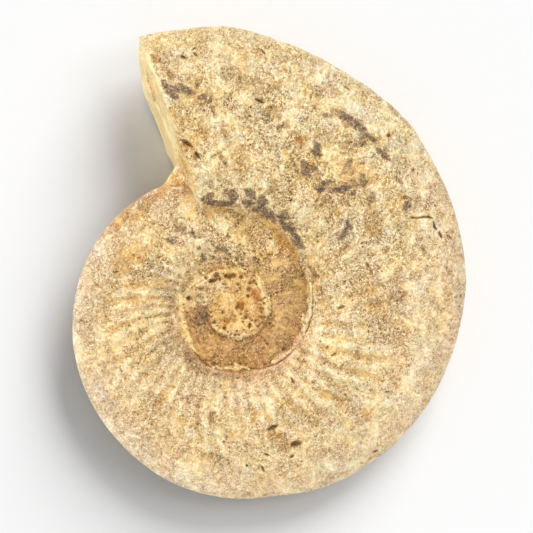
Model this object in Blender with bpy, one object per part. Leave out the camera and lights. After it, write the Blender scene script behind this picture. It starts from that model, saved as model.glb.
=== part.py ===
"""Ammonite fossil, one solid stone that lies on its flank: a coiled shell with worn ribs, cut off at its
last whorl, with a plug of rock in the middle of the coil.

Lengths are in millimetres until the last step, which scales the mesh to metres. Angles are in degrees, seen
from above and counter-clockwise from +X, and they run on from turn to turn: 469 is the cut end, 109 is one
turn before.
"""

import math

import bmesh
import bpy
from mathutils import Matrix, Vector

MM = 0.001

# The coil: both edges of the whorl are logarithmic spirals about one axis.
COIL_CENTRE = (-15.3, -18.8)  # of the coil's axis, from the middle of the fossil's outline
CUT_ANGLE = 469.2  # where the last whorl is cut off
INNER_TURNS = 2.03  # how far the modelled tube reaches back from the cut
VENTER_RADIUS = 121.5  # outer edge of the whorl, at the cut
VENTER_GROWTH = 2.074  # times larger after each turn
EDGE_WEAR = (  # where the outer edge is worn in or bulges out: (angle, outwards, half width in degrees)
    (119.0, 0.8, 4.0),
    (252.0, 0.7, 13.0),
    (283.0, -1.2, 8.0),
    (368.0, 0.7, 9.0),
    (407.0, 1.0, 7.0),
    (426.0, -0.8, 10.0),
    (451.0, 1.6, 7.0),
)
SEAM_RADIUS = 43.9  # line where the whorl meets the one before, at the cut
SEAM_GROWTH = 2.26
SEAM_WAVE = 0.045  # the seam is a little out of round, tightest at SEAM_WAVE_ANGLE
SEAM_WAVE_ANGLE = 350.0

# The whorl's section: height over the middle plane against the way from seam (0) to outer edge (1).
HALF_THICKNESS = 19.0  # at the cut, it shrinks with VENTER_GROWTH
SEAM_HEIGHT = 0.40
LEDGE_HEIGHT = 0.12  # the steep step of the wall just outside the seam
LEDGE_WIDTH = 0.012
SHOULDER_AT = 0.28  # widest place of the whorl
FLANK_POWER = 1.9
VENTER_POWER = 0.62

DORSAL_HEIGHT = 0.18  # of the inner wall, which is buried in the whorl before

# Ribs, one crest and one groove for every two columns of the mesh.
RIBS_PER_TURN = 50
RIB_HEIGHT = 1.5  # at the cut; it shrinks half as fast as the whorl
RIB_RISE = (0.01, 0.09)  # shares of the way out between which a rib rises
RIB_FADE = (0.38, 0.78)  # and those between which it dies away
RIB_LEAN = 13.0  # degrees that a rib leans forward by the time it reaches the outer edge
RIB_LEAN_POWER = 1.5
LEAN_RISE = (109.0, 150.0)
LEAN_FADE = (424.2, 459.2)
OUTER_RIBS_RISE = (115.0, 165.0)  # the ribs of the last whorl are strong from here
OUTER_RIBS_FADE = (320.0, 400.0)  # to here, and worn down to WORN_RIBS after it
WORN_RIBS = 0.2
INNER_RIBS_RISE = (-200.0, -120.0)
INNER_RIBS_FADE = (60.0, 120.0)
INNER_RIBS = 0.3  # height of the ribs of the inner whorls, against the last whorl's

# The cut end leans: its lower edge stands further out than its upper edge.
CUT_SET_BACK = -1.3
CUT_SLOPE = 0.21
CUT_BELLY = -1.9  # the lower edge bulges at this share of the way out
CUT_BELLY_AT = 0.70
CUT_BELLY_WIDTH = 0.13
CUT_TIP = (0.9, 1.0)  # shares of the way out between which the cut turns radial again
CUT_BLEND = 16.0  # degrees over which the columns turn from radial to the lean of the cut

# Rock plug in the middle of the coil. Its edge is the seam, for one turn up to PLUG_EDGE_ANGLE.
PLUG_EDGE_ANGLE = 175.0
PLUG_HEIGHT = 5.2
PLUG_BEVEL = 0.8
PLUG_SIDES = 72
PLUG_OVERLAP = 0.4  # its edge runs this far into the shell

# Rock fillet between the cut end and the whorl below it.
FILLET_ANGLE = 109.0
FILLET_RADIUS = 58.0
FILLET_SIZE = (6.5, 9.8, 8.5)  # half sizes outwards, along the coil and upwards

# Pits in the upper side: (distance from the coil's axis, angle, half length along the coil, half width).
# The first five are holes in the plug, at angles of its own turn.
PITS = (
    (11.3, 29.0, 2.6, 1.5),
    (3.6, 6.0, 1.9, 1.7),
    (6.0, -113.0, 1.8, 1.4),
    (14.1, 122.0, 3.4, 0.9),
    (18.7, 168.0, 1.2, 1.0),
    (71.0, 465.3, 2.4, 1.5),
    (65.3, 463.0, 1.8, 1.3),
    (109.0, 467.3, 1.8, 2.4),
    (107.8, 461.0, 2.2, 1.4),
    (101.8, 464.8, 1.9, 1.9),
    (87.7, 442.3, 2.0, 1.1),
    (63.4, 295.0, 2.4, 1.5),
    (53.2, 287.7, 1.8, 1.4),
    (84.0, 377.0, 2.6, 1.2),
)
PIT_DEPTH = 1.8

# The way it lies: tipped so that its lower flank, worn flat in one plane, touches on both sides of the coil.
LIE_TILT = 2.4
LIE_AXIS_ANGLE = 12.0
FLAT_DEPTH = 1.1

UPPER_CELLS = 11  # mesh cells from the seam to the outer edge, on the upper flank
LOWER_CELLS = 8
ROW_SPREAD = 1.3
SHARP_ANGLE = 40.0
SAME_PLACE = 0.01  # points nearer than this are one point

STONE_COLOUR = (0.76, 0.56, 0.31, 1.0)
STONE_ROUGHNESS = 0.85


def venter_radius(angle):
    radius = VENTER_RADIUS * VENTER_GROWTH ** ((angle - CUT_ANGLE) / 360)
    return radius + sum(by * math.exp(-(((angle - at) / wide) ** 2)) for at, by, wide in EDGE_WEAR)


def seam_radius(angle):
    wave = 1 - SEAM_WAVE * (1 + math.cos(math.radians(angle - SEAM_WAVE_ANGLE)))
    return SEAM_RADIUS * SEAM_GROWTH ** ((angle - CUT_ANGLE) / 360) * wave


def half_thickness(angle):
    return HALF_THICKNESS * VENTER_GROWTH ** ((angle - CUT_ANGLE) / 360)


def smooth_step(low, high, value):
    share = min(max((value - low) / (high - low), 0), 1)
    return share * share * (3 - 2 * share)


def flank_height(out):
    """Height of the flank, as a share of the half thickness, this share of the way from seam to edge."""
    if out < SHOULDER_AT:
        ledge = LEDGE_HEIGHT * (1 - math.exp(-out / LEDGE_WIDTH))
        wall = math.sin(0.5 * math.pi * out / SHOULDER_AT)
        return SEAM_HEIGHT + ledge + (1 - SEAM_HEIGHT - LEDGE_HEIGHT) * wall
    beyond = (out - SHOULDER_AT) / (1 - SHOULDER_AT)
    return max(1 - beyond**FLANK_POWER, 0) ** VENTER_POWER


def rib_strength(angle, out):
    """1 where the ribs stand full: low on the flank and from the middle of the last whorl back."""
    across = smooth_step(*RIB_RISE, out) * (1 - smooth_step(*RIB_FADE, out))
    wear = (1 - WORN_RIBS) * smooth_step(*OUTER_RIBS_FADE, angle)
    outer = smooth_step(*OUTER_RIBS_RISE, angle) * (1 - wear)
    inner = smooth_step(*INNER_RIBS_RISE, angle) * (1 - smooth_step(*INNER_RIBS_FADE, angle))
    return across * max(outer, INNER_RIBS * inner)


def cut_shift(out, height):
    """How far the cut end stands back from a radial plane, along the coil."""
    shift = CUT_SET_BACK + CUT_SLOPE * height
    if height < 0:
        shift += CUT_BELLY * math.exp(-(((out - CUT_BELLY_AT) / CUT_BELLY_WIDTH) ** 2))
    return shift * (1 - smooth_step(*CUT_TIP, out))


def row_places(cells):
    """Shares of the way out for the rows of one flank, closer together at the ledge and the outer edge."""
    return [math.sin(0.5 * math.pi * i / cells) ** ROW_SPREAD for i in range(cells + 1)]


def section_rows():
    """The section as (share of the way out, side, height share) once round: side is 1 above, -1 below."""
    rows = [(out, 1, flank_height(out)) for out in row_places(UPPER_CELLS)[:-1]]
    rows.append((1.0, 0, 0.0))
    rows += [(out, -1, flank_height(out)) for out in reversed(row_places(LOWER_CELLS)[:-1])]
    return rows + [(0.0, -1, DORSAL_HEIGHT), (0.0, 1, DORSAL_HEIGHT)]


def shell_point(angle, crest, out, side, height_share):
    """A point of the shell; crest is 1 on a rib, -1 in a groove."""
    lean_on = smooth_step(*LEAN_RISE, angle) * (1 - smooth_step(*LEAN_FADE, angle))
    turned = angle + lean_on * RIB_LEAN * out**RIB_LEAN_POWER
    inner = seam_radius(turned)
    radius = inner + out * (venter_radius(turned) - inner)
    height = side * height_share * half_thickness(turned)
    rib = 0.5 * RIB_HEIGHT * (1 + half_thickness(turned) / HALF_THICKNESS) * rib_strength(angle, out)
    height += side * crest * 0.5 * rib
    cut_on = smooth_step(CUT_ANGLE - CUT_BLEND, CUT_ANGLE, angle)
    turned -= cut_on * math.degrees(cut_shift(out, height) / radius)
    place = math.radians(turned)
    return Vector((radius * math.cos(place), radius * math.sin(place), height))


def make_shell():
    """The tube of the shell: a grid, its rows bent round the section and its columns wound along the coil."""
    step = 180 / RIBS_PER_TURN
    columns = round(INNER_TURNS * 2 * RIBS_PER_TURN)
    rows = section_rows()
    shell = bmesh.new()
    bmesh.ops.create_grid(shell, x_segments=columns, y_segments=len(rows), size=0.5)
    for vertex in shell.verts:
        column = round((vertex.co.x + 0.5) * columns)
        row = round((vertex.co.y + 0.5) * len(rows)) % len(rows)
        angle = CUT_ANGLE - column * step
        crest = -1 if column % 2 else 1
        vertex.co = shell_point(angle, crest, *rows[row])
    bmesh.ops.remove_doubles(shell, verts=shell.verts, dist=SAME_PLACE)
    bmesh.ops.holes_fill(shell, edges=shell.edges, sides=0)
    bmesh.ops.recalc_face_normals(shell, faces=shell.faces)
    return shell


def make_plug():
    """The plug: a disc whose rim follows the seam for one turn, with a rounded edge above and below."""
    plug = bmesh.new()
    bmesh.ops.create_cone(
        plug, cap_ends=True, segments=PLUG_SIDES, radius1=1, radius2=1, depth=2 * PLUG_HEIGHT
    )
    for vertex in plug.verts:
        place = math.degrees(math.atan2(vertex.co.y, vertex.co.x))
        angle = (place - PLUG_EDGE_ANGLE) % 360 + PLUG_EDGE_ANGLE - 360
        radius = seam_radius(angle) + PLUG_OVERLAP
        vertex.co.x *= radius
        vertex.co.y *= radius
    rims = [edge for edge in plug.edges if abs(edge.verts[0].co.z - edge.verts[1].co.z) < SAME_PLACE]
    bmesh.ops.bevel(plug, geom=rims, offset=PLUG_BEVEL, segments=2, affect="EDGES", profile=0.5)
    return plug


def make_fillet():
    """The fillet: a lump of rock, longest along the coil."""
    fillet = bmesh.new()
    bmesh.ops.create_icosphere(fillet, subdivisions=2, radius=1)
    for vertex in fillet.verts:
        vertex.co = Vector(a * b for a, b in zip(vertex.co, FILLET_SIZE)) + Vector((FILLET_RADIUS, 0, 0))
    fillet.transform(Matrix.Rotation(math.radians(FILLET_ANGLE), 4, "Z"))
    return fillet


def make_pits():
    """One squashed ball for each pit, its middle on the upper flank."""
    pits = bmesh.new()
    for radius, place, along, across in PITS:
        height = PLUG_HEIGHT
        inner = seam_radius(place)
        if radius > inner:
            height = half_thickness(place) * flank_height((radius - inner) / (venter_radius(place) - inner))
        shape = Matrix.Diagonal((across, along, PIT_DEPTH, 1))
        set_at = Matrix.Rotation(math.radians(place), 4, "Z") @ Matrix.Translation((radius, 0, height))
        bmesh.ops.create_icosphere(pits, subdivisions=1, radius=1, matrix=set_at @ shape)
    return pits


def as_object(shape, name, collection):
    mesh = bpy.data.meshes.new(name)
    shape.to_mesh(mesh)
    shape.free()
    made = bpy.data.objects.new(name, mesh)
    collection.objects.link(made)
    return made


def collection_of(name):
    made = bpy.data.collections.new(name)
    bpy.context.scene.collection.children.link(made)
    return made


def stone_material():
    stone = bpy.data.materials.new("cream limestone")
    stone.use_nodes = True
    surface = stone.node_tree.nodes["Principled BSDF"]
    surface.inputs["Base Color"].default_value = STONE_COLOUR
    surface.inputs["Roughness"].default_value = STONE_ROUGHNESS
    surface.inputs["Metallic"].default_value = 0.0
    return stone


def lie_down(fossil):
    """Bakes the modifiers in, tips the fossil onto its lower flank and wears it flat where it touches."""
    graph = bpy.context.evaluated_depsgraph_get()
    stone = bmesh.new()
    stone.from_object(fossil, graph)
    fossil.modifiers.clear()
    axis = math.radians(LIE_AXIS_ANGLE)
    stone.transform(Matrix.Rotation(math.radians(LIE_TILT), 4, (math.cos(axis), math.sin(axis), 0)))
    lowest = min(vertex.co.z for vertex in stone.verts)
    stone.transform(Matrix.Translation((*COIL_CENTRE, -lowest - FLAT_DEPTH)))
    whole = stone.verts[:] + stone.edges[:] + stone.faces[:]
    bmesh.ops.bisect_plane(stone, geom=whole, plane_co=(0, 0, 0), plane_no=(0, 0, -1), clear_outer=True)
    bmesh.ops.holes_fill(stone, edges=stone.edges, sides=0)
    bmesh.ops.triangulate(stone, faces=stone.faces)
    stone.transform(Matrix.Scale(MM, 4))
    stone.to_mesh(fossil.data)
    stone.free()
    fossil.data.shade_smooth()
    fossil.data.set_sharp_from_angle(angle=math.radians(SHARP_ANGLE))


def main():
    for old in list(bpy.data.objects):
        bpy.data.objects.remove(old, do_unlink=True)
    fossil_parts = collection_of("ammonite fossil")
    helpers = collection_of("helpers")
    fossil = as_object(make_shell(), "ammonite", fossil_parts)
    for shape, name, operation in (
        (make_plug(), "plug", "UNION"),
        (make_fillet(), "fillet", "UNION"),
        (make_pits(), "pits", "DIFFERENCE"),
    ):
        helper = as_object(shape, name, helpers)
        helper.hide_render = True
        helper.display_type = "WIRE"
        joint = fossil.modifiers.new(name, "BOOLEAN")
        joint.operation = operation
        joint.object = helper
        joint.use_self = name == "plug"
    lie_down(fossil)
    fossil.data.materials.append(stone_material())


main()
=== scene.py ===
# %% [markdown]
# # An ammonite fossil in cream limestone
# The real thing is the shell of a sea animal that filled with lime mud and turned to stone: a tube coiled
# flat like a rope, wider with every turn, with worn ribs across its side. It lies on its flank, the mouth
# end is broken off clean, and a plug of rock sits in the middle of the coil. This notebook winds the tube
# with Geometry Nodes, melts its turns into one stone, carves the wear into it and then colours it.

import math

import bmesh
import bpy
import numpy as np
from mathutils import Matrix


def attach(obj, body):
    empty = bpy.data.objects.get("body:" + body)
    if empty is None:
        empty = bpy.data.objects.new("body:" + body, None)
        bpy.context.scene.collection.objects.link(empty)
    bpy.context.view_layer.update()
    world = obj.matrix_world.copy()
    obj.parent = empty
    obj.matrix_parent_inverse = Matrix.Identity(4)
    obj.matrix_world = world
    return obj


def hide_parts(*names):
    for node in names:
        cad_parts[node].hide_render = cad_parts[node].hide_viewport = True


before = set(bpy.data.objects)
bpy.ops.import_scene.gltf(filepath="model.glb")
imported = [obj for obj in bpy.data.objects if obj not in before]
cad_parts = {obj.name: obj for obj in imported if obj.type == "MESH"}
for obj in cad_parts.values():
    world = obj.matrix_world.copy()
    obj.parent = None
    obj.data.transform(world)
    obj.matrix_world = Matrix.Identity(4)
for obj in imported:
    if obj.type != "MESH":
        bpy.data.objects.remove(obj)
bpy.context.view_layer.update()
MM = 0.001


# %% [markdown]
# ## Camera, floor and light
# A flat stone shows its coil best from straight above. A long lens from far away keeps its sides from
# spreading, so a point keeps its place whatever its height.

# %% Camera
LENS = 300.0
SENSOR = 36.0
VIEW_WIDTH = 224.9 * MM  # of the floor in view
VIEW_MIDDLE = (-1.05 * MM, -1.48 * MM)
STONE_MIDDLE = 18.0 * MM
CAMERA_REACH = 20.0

camera_data = bpy.data.cameras.new("camera")
camera_data.lens = LENS
camera_data.sensor_width = SENSOR
camera_data.clip_end = CAMERA_REACH
camera = bpy.data.objects.new("camera", camera_data)
bpy.context.scene.collection.objects.link(camera)
camera.location = (*VIEW_MIDDLE, STONE_MIDDLE + VIEW_WIDTH * LENS / SENSOR)
bpy.context.scene.camera = camera
bpy.context.scene.view_settings.view_transform = "Standard"
print("camera stands", round(camera.location.z, 2), "m above the floor")


# %% [markdown]
# The floor is a wide sheet of white board.

# %% Floor
FLOOR_SIZE = 12.0
BOARD_WHITE = (0.88, 0.88, 0.88, 1.0)
BOARD_ROUGHNESS = 0.9

floor_mesh = bpy.data.meshes.new("floor")
floor_shape = bmesh.new()
bmesh.ops.create_grid(floor_shape, x_segments=1, y_segments=1, size=FLOOR_SIZE / 2)
floor_shape.to_mesh(floor_mesh)
floor_shape.free()
floor = bpy.data.objects.new("floor", floor_mesh)
bpy.context.scene.collection.objects.link(floor)
board = bpy.data.materials.new("white board")
board.use_nodes = True
board.node_tree.nodes["Principled BSDF"].inputs["Base Color"].default_value = BOARD_WHITE
board.node_tree.nodes["Principled BSDF"].inputs["Roughness"].default_value = BOARD_ROUGHNESS
floor_mesh.materials.append(board)
print("the floor is", FLOOR_SIZE, "m wide")


# %% [markdown]
# The light comes in low from the upper right through a wide window, in a white room. The window is wide
# because the shadow at the left of the stone fades out slowly; the room keeps it pale. Such low windows
# alone would leave the stone's left side dull, so they light the floor, and four wide soft lamps stand
# round the stone and light it evenly, a little more from the upper left. Light linking does that: it
# keeps each lamp on its own subject.

# %% Light
def lamp(name, turn, height, width, strength):
    """A far lamp: the turn goes from +X towards +Y, the height is above the floor, all in degrees."""
    data = bpy.data.lights.new(name, "SUN")
    data.angle = math.radians(width)
    data.energy = strength
    made = bpy.data.objects.new(name, data)
    made.rotation_euler = (math.radians(90 - height), 0.0, math.radians(turn + 90))
    bpy.context.scene.collection.objects.link(made)
    return made


def shine_only_on(lamps, subject):
    """Lets some lamps light one object alone; everything still casts its shadow in them."""
    lit = bpy.data.collections.new("lit " + subject.name)
    lit.objects.link(subject)
    for one in lamps:
        one.light_linking.receiver_collection = lit


windows = [
    lamp("window", turn=60, height=25, width=38, strength=3.9),
    lamp("second window", turn=20, height=40, width=30, strength=0.7),
]
soft_lamps = [
    lamp("upper left lamp", turn=140, height=35, width=60, strength=2.57),
    lamp("upper right lamp", turn=60, height=38, width=100, strength=1.47),
    lamp("lower left lamp", turn=230, height=38, width=100, strength=1.21),
    lamp("lower right lamp", turn=320, height=38, width=100, strength=1.21),
]
shine_only_on(windows, floor)

ROOM_WHITE = (1.0, 1.0, 1.0, 1.0)
ROOM_STRENGTH = 0.44
room = bpy.data.worlds.new("white room")
bpy.context.scene.world = room
room.use_nodes = True
room.node_tree.nodes["Background"].inputs["Color"].default_value = ROOM_WHITE
room.node_tree.nodes["Background"].inputs["Strength"].default_value = ROOM_STRENGTH
print("lamps:", [one.name for one in windows + soft_lamps])


# %% [markdown]
# ## Writing formulas as nodes
# The shape of the shell is a rule, so it is made with Geometry Nodes. A rule written node by node is hard
# to read. This small class stands for a socket that carries a number, and turns + - * / and ** into math
# nodes, so that the rule below reads like one on paper. The same class serves the material later.

# %% A number in a node tree
class Number:
    """An output socket, with arithmetic that adds nodes to its tree."""

    def __init__(self, tree, socket):
        self.tree = tree
        self.socket = socket

    def math(self, operation, *values):
        made = self.tree.nodes.new("ShaderNodeMath")
        made.operation = operation
        for slot, value in zip(made.inputs, values):
            feed(self.tree, value, slot)
        return Number(self.tree, made.outputs[0])

    def __add__(self, other):
        return self.math("ADD", self, other)

    def __radd__(self, other):
        return self.math("ADD", other, self)

    def __sub__(self, other):
        return self.math("SUBTRACT", self, other)

    def __rsub__(self, other):
        return self.math("SUBTRACT", other, self)

    def __mul__(self, other):
        return self.math("MULTIPLY", self, other)

    def __rmul__(self, other):
        return self.math("MULTIPLY", other, self)

    def __truediv__(self, other):
        return self.math("DIVIDE", self, other)

    def __rtruediv__(self, other):
        return self.math("DIVIDE", other, self)

    def __pow__(self, other):
        return self.math("POWER", self, other)

    def __rpow__(self, other):
        return self.math("POWER", other, self)


def feed(tree, value, slot):
    """Links a Number to a socket, or sets the socket to a plain value."""
    if isinstance(value, Number):
        tree.links.new(value.socket, slot)
    else:
        slot.default_value = value


print("a Number is written with + - * / and **")


# %% [markdown]
# Any other node could be added with three or four lines of its own. One helper adds it, sets its options,
# and fills its inputs by name, so that a node takes one call. An input's name is written with _ for a space.

# %% Any node, in one call
def add_node(tree, kind, settings=None, output=0, **inputs):
    """Adds a node, sets its options, feeds its inputs by name, and gives one of its outputs."""
    made = tree.nodes.new(kind)
    for name, value in (settings or {}).items():
        setattr(made, name, value)
    for name, value in inputs.items():
        slots = [slot for slot in made.inputs if slot.name == name.replace("_", " ") and slot.enabled]
        feed(tree, value, slots[0])
    outputs = [slot for slot in made.outputs if slot.enabled]
    if isinstance(output, str):
        return Number(tree, next(slot for slot in outputs if slot.name == output))
    return Number(tree, outputs[output])


def vector(tree, x, y, z):
    return add_node(tree, "ShaderNodeCombineXYZ", X=x, Y=y, Z=z)


def parts_of(place):
    """The three numbers of a vector."""
    split = place.tree.nodes.new("ShaderNodeSeparateXYZ")
    place.tree.links.new(place.socket, split.inputs[0])
    return [Number(place.tree, out) for out in split.outputs]


print("add_node serves both kinds of tree, geometry and material")


# %% [markdown]
# A shape fades in, stops at a limit or goes round in a circle again and again, so these get short names.

# %% Fades, limits and circles
def fade(low, high, value):
    """0 below low, 1 above high, and a smooth step between."""
    settings = {"interpolation_type": "SMOOTHSTEP"}
    return add_node(value.tree, "ShaderNodeMapRange", settings, Value=value, From_Min=low, From_Max=high)


def least(value, limit):
    return value.math("MINIMUM", value, limit)


def most(value, limit):
    return value.math("MAXIMUM", value, limit)


def is_above(value, limit):
    """1 above the limit, 0 below it."""
    return value.math("GREATER_THAN", value, limit)


def is_below(value, limit):
    """1 below the limit, 0 above it."""
    return value.math("LESS_THAN", value, limit)


def sine(degrees):
    return degrees.math("SINE", degrees * (math.pi / 180))


def cosine(degrees):
    return degrees.math("COSINE", degrees * (math.pi / 180))


print("fade goes smoothly from 0 to 1")


# %% [markdown]
# Everything that a maker would want to turn is a named input of a tree. The inputs are made from a table,
# and the tree ends by making any instances real and setting the material, so that it hands on a plain mesh.
# On an object the tree is a modifier, whose inputs are found by their identifiers.

# %% A tree with named inputs
def new_tree(name, sizes, takes_geometry=False):
    """A Geometry Nodes tree with an input for each size and for the stone, and those inputs by name."""
    tree = bpy.data.node_groups.new(name, "GeometryNodeTree")
    tree.is_modifier = True
    if takes_geometry:
        tree.interface.new_socket("Geometry", in_out="INPUT", socket_type="NodeSocketGeometry")
    for size, value in sizes.items():
        kind = "NodeSocketInt" if isinstance(value, int) else "NodeSocketFloat"
        tree.interface.new_socket(size, in_out="INPUT", socket_type=kind).default_value = value
    tree.interface.new_socket("Stone", in_out="INPUT", socket_type="NodeSocketMaterial")
    tree.interface.new_socket("Geometry", in_out="OUTPUT", socket_type="NodeSocketGeometry")
    entry = tree.nodes.new("NodeGroupInput")
    return tree, {slot.name: Number(tree, slot) for slot in entry.outputs if slot.name}


def end_tree(tree, shape, stone_input):
    shape = add_node(tree, "GeometryNodeRealizeInstances", Geometry=shape)
    shape = add_node(tree, "GeometryNodeSetMaterial", Geometry=shape, Material=stone_input)
    tree.links.new(shape.socket, tree.nodes.new("NodeGroupOutput").inputs[0])


def put_on(thing, tree, sizes, material):
    """Puts the tree on the object as a modifier, with its sizes and its material."""
    modifier = thing.modifiers.new(tree.name, "NODES")
    modifier.node_group = tree
    inputs = [item for item in tree.interface.items_tree if item.in_out == "INPUT"]
    identifiers = {item.name: item.identifier for item in inputs}
    for name, value in {**sizes, "Stone": material}.items():
        modifier[identifiers[name]] = value
    print(tree.name, "has", len(sizes), "sizes and", len(tree.nodes), "nodes")


# %% [markdown]
# ## The sizes of the shell
# Lengths are in millimetres and angles in degrees. Angles run on from turn to turn: the cut end is at 469,
# and one turn before it is 109.

# %% Inputs of the shell tree
CUT_ANGLE = 469.2
SHELL_INPUTS = {
    "Turns": 2.03,
    "Steps per turn": 400,
    "Rows": 150,
    "Cut rows": 26,
    "Outer radius": 121.5,
    "Outer growth": 2.074,
    "Seam radius": 43.9,
    "Seam growth": 2.26,
    "Seam wave": 0.045,
    "Half thickness": 19.0,
    "Seam height": 0.40,
    "Ledge height": 0.12,
    "Ledge width": 0.012,
    "Shoulder": 0.28,
    "Flank power": 1.9,
    "Outer power": 0.62,
    "Ribs per turn": 50.0,
    "Rib start": 0.9,
    "Rib height": 1.7,
    "Rib lean": 13.0,
    "Plug height": 5.2,
    "Seed": 3,
}

shell_tree, given = new_tree("wound shell", SHELL_INPUTS)
print("the shell tree has", len(given), "inputs")


# %% [markdown]
# ## Winding the tube
# A flat grid becomes the tube. Its columns are wound along the coil and its rows are bent round the
# whorl's section. The first columns all stand at the cut and shrink towards its middle line, which closes
# the end with a face, and the last column does the same in the heart of the coil.

# %% Where each grid point goes along the coil
cut_rows = given["Cut rows"]
columns = given["Turns"] * given["Steps per turn"] + cut_rows
grid = add_node(
    shell_tree, "GeometryNodeMeshGrid", Vertices_X=columns + 1, Vertices_Y=given["Rows"] + 1
)
along, around, _ = parts_of(add_node(shell_tree, "GeometryNodeInputPosition"))
column = (0.5 - along) * columns
column = column.math("ROUND", column)
steps_back = most(column - cut_rows, 0.0)
angle = CUT_ANGLE - steps_back * 360 / given["Steps per turn"]
fullness = least(column / cut_rows, 1.0) * is_below(column, columns - 0.5)
print("the grid is wound", SHELL_INPUTS["Turns"], "times round")


# %% [markdown]
# Going once round the section, the way out runs from the seam (0) to the outer edge (1) over the upper
# flank, back to the seam under the lower flank, and then up the inner wall, which stays buried in the
# turn before. The power brings more rows to the seam, where the ledge and the ribs need them.

# %% The way out on the section
FLANK_SHARE = 0.47  # of the rows, for each of the two flanks
WALL_SHARE = 1 - 2 * FLANK_SHARE
MORE_BY_SEAM = 1.3

round_share = (around + 0.5) / FLANK_SHARE
way = most(least(round_share, 2 - round_share), 0.0)
out = sine(way * 90) ** MORE_BY_SEAM
side = 1 - 2 * is_above(round_share, 1.0)
inner_wall = most(round_share - 2, 0.0) * (FLANK_SHARE / WALL_SHARE)
print("rows on each flank:", round(FLANK_SHARE * SHELL_INPUTS["Rows"]))


# %% [markdown]
# The section rises from the seam in a narrow ledge and a round shoulder, and falls to the outer edge in a
# long curve. Its height is a share of the half thickness, above the middle plane on the upper side and
# below it on the lower.

# %% The height on the section
wall = given["Seam height"]
wall = wall + given["Ledge height"] * (1 - math.e ** (0 - out / given["Ledge width"]))
rise = sine(90 * least(out / given["Shoulder"], 1.0))
wall = wall + (1 - given["Seam height"] - given["Ledge height"]) * rise
beyond = most((out - given["Shoulder"]) / (1 - given["Shoulder"]), 0.0)
height_share = wall * most(1 - beyond ** given["Flank power"], 0.0) ** given["Outer power"]
height_share = side * height_share + inner_wall * 2 * given["Seam height"]
print("the whorl is thickest at", SHELL_INPUTS["Shoulder"], "of the way out")


# %% [markdown]
# Both edges of the whorl are logarithmic spirals: each turn makes them a fixed number of times larger. A
# slow wave brings the seam closer to the axis on one side. The ribs lean forward on their way out, so a
# point is wound a little further the further out it is.

# %% The two spirals and the lean of the ribs
LEAN_RISE, LEAN_FADE = (109.0, 150.0), (424.2, 459.2)  # degrees along the coil
LEAN_POWER = 1.5
WAVE_ANGLE = 350.0  # degrees, where the seam lies closest to the axis


def seam_wave(turned):
    return 1 - given["Seam wave"] * (1 + cosine(turned - WAVE_ANGLE))


leaning = fade(*LEAN_RISE, angle) * (1 - fade(*LEAN_FADE, angle))
turned = angle + leaning * given["Rib lean"] * out**LEAN_POWER
turns_back = (turned - CUT_ANGLE) / 360
outer_radius = given["Outer radius"] * given["Outer growth"] ** turns_back
seam_radius = given["Seam radius"] * given["Seam growth"] ** turns_back * seam_wave(turned)
half_thickness = given["Half thickness"] * given["Outer growth"] ** turns_back
radius = seam_radius + out * (outer_radius - seam_radius)
print("each turn grows", SHELL_INPUTS["Outer growth"], "times")


# %% [markdown]
# The ribs are a wave along the coil. Noise keeps them from being all alike: it moves each one a little,
# makes some stronger and breaks them into knots. On the last whorl they are strong, but lower in a worn
# patch and nearly flat towards the cut. On the inner whorl they are faint.

# %% Ribs
RIB_RISE, RIB_FALL = (0.01, 0.09), (0.36, 0.80)  # on the way out; the rest are along the coil
OUTER_RIBS_RISE = (115.0, 165.0)
CUT_WEAR, CUT_WEAR_RISE = 0.82, (320.0, 400.0)
PATCH_WEAR, PATCH_RISE, PATCH_FALL = 0.45, (205.0, 235.0), (280.0, 315.0)
INNER_RIBS, INNER_RISE, INNER_FALL = 0.22, (-240.0, -150.0), (60.0, 120.0)


def soft_noise(tree, where, scale, detail, seed):
    """Noise between about -1 and 1."""
    settings = {"noise_dimensions": "4D"}
    value = add_node(tree, "ShaderNodeTexNoise", settings, Vector=where, W=seed, Scale=scale, Detail=detail)
    return (value - 0.5) * 4


seed = given["Seed"] * 7.3
rib_place = vector(shell_tree, angle / 10, out * 3, side)
wander = soft_noise(shell_tree, rib_place, 0.55, 1.0, seed)
wave = cosine((angle - given["Rib start"] + 0.6 * wander) * given["Ribs per turn"])
worn_patch = PATCH_WEAR * fade(*PATCH_RISE, angle) * (1 - fade(*PATCH_FALL, angle))
kept = 1 - CUT_WEAR * fade(*CUT_WEAR_RISE, angle) - worn_patch
outer_ribs = fade(*OUTER_RIBS_RISE, angle) * kept
inner_ribs = INNER_RIBS * fade(*INNER_RISE, angle) * (1 - fade(*INNER_FALL, angle))
strength = fade(*RIB_RISE, out) * (1 - fade(*RIB_FALL, out)) * most(outer_ribs, inner_ribs)
uneven = most(0.8 + 0.6 * soft_noise(shell_tree, rib_place, 1.3, 2.0, seed + 5), 0.0)
growth = half_thickness / given["Half thickness"]
rib = wave * strength * uneven * given["Rib height"] * (0.5 + 0.5 * growth) * 0.5
print("one rib every", 360 / SHELL_INPUTS["Ribs per turn"], "degrees")


# %% [markdown]
# The broken end leans back a little: its lower edge stands further out than its upper edge, and bulges.
# That is done last, by moving the points near the cut along the coil.

# %% The cut end, and the finished place of each point
CUT_BLEND = 16.0  # degrees
CUT_SHIFT, CUT_LEAN, CUT_BELLY = -1.3, 0.21, -1.9  # mm back, per mm of height, and mm at the bulge
BELLY_MIDDLE, BELLY_WIDTH = 0.70, 0.13  # on the way out
SAME_POINT = 0.002  # mm apart at most

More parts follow.
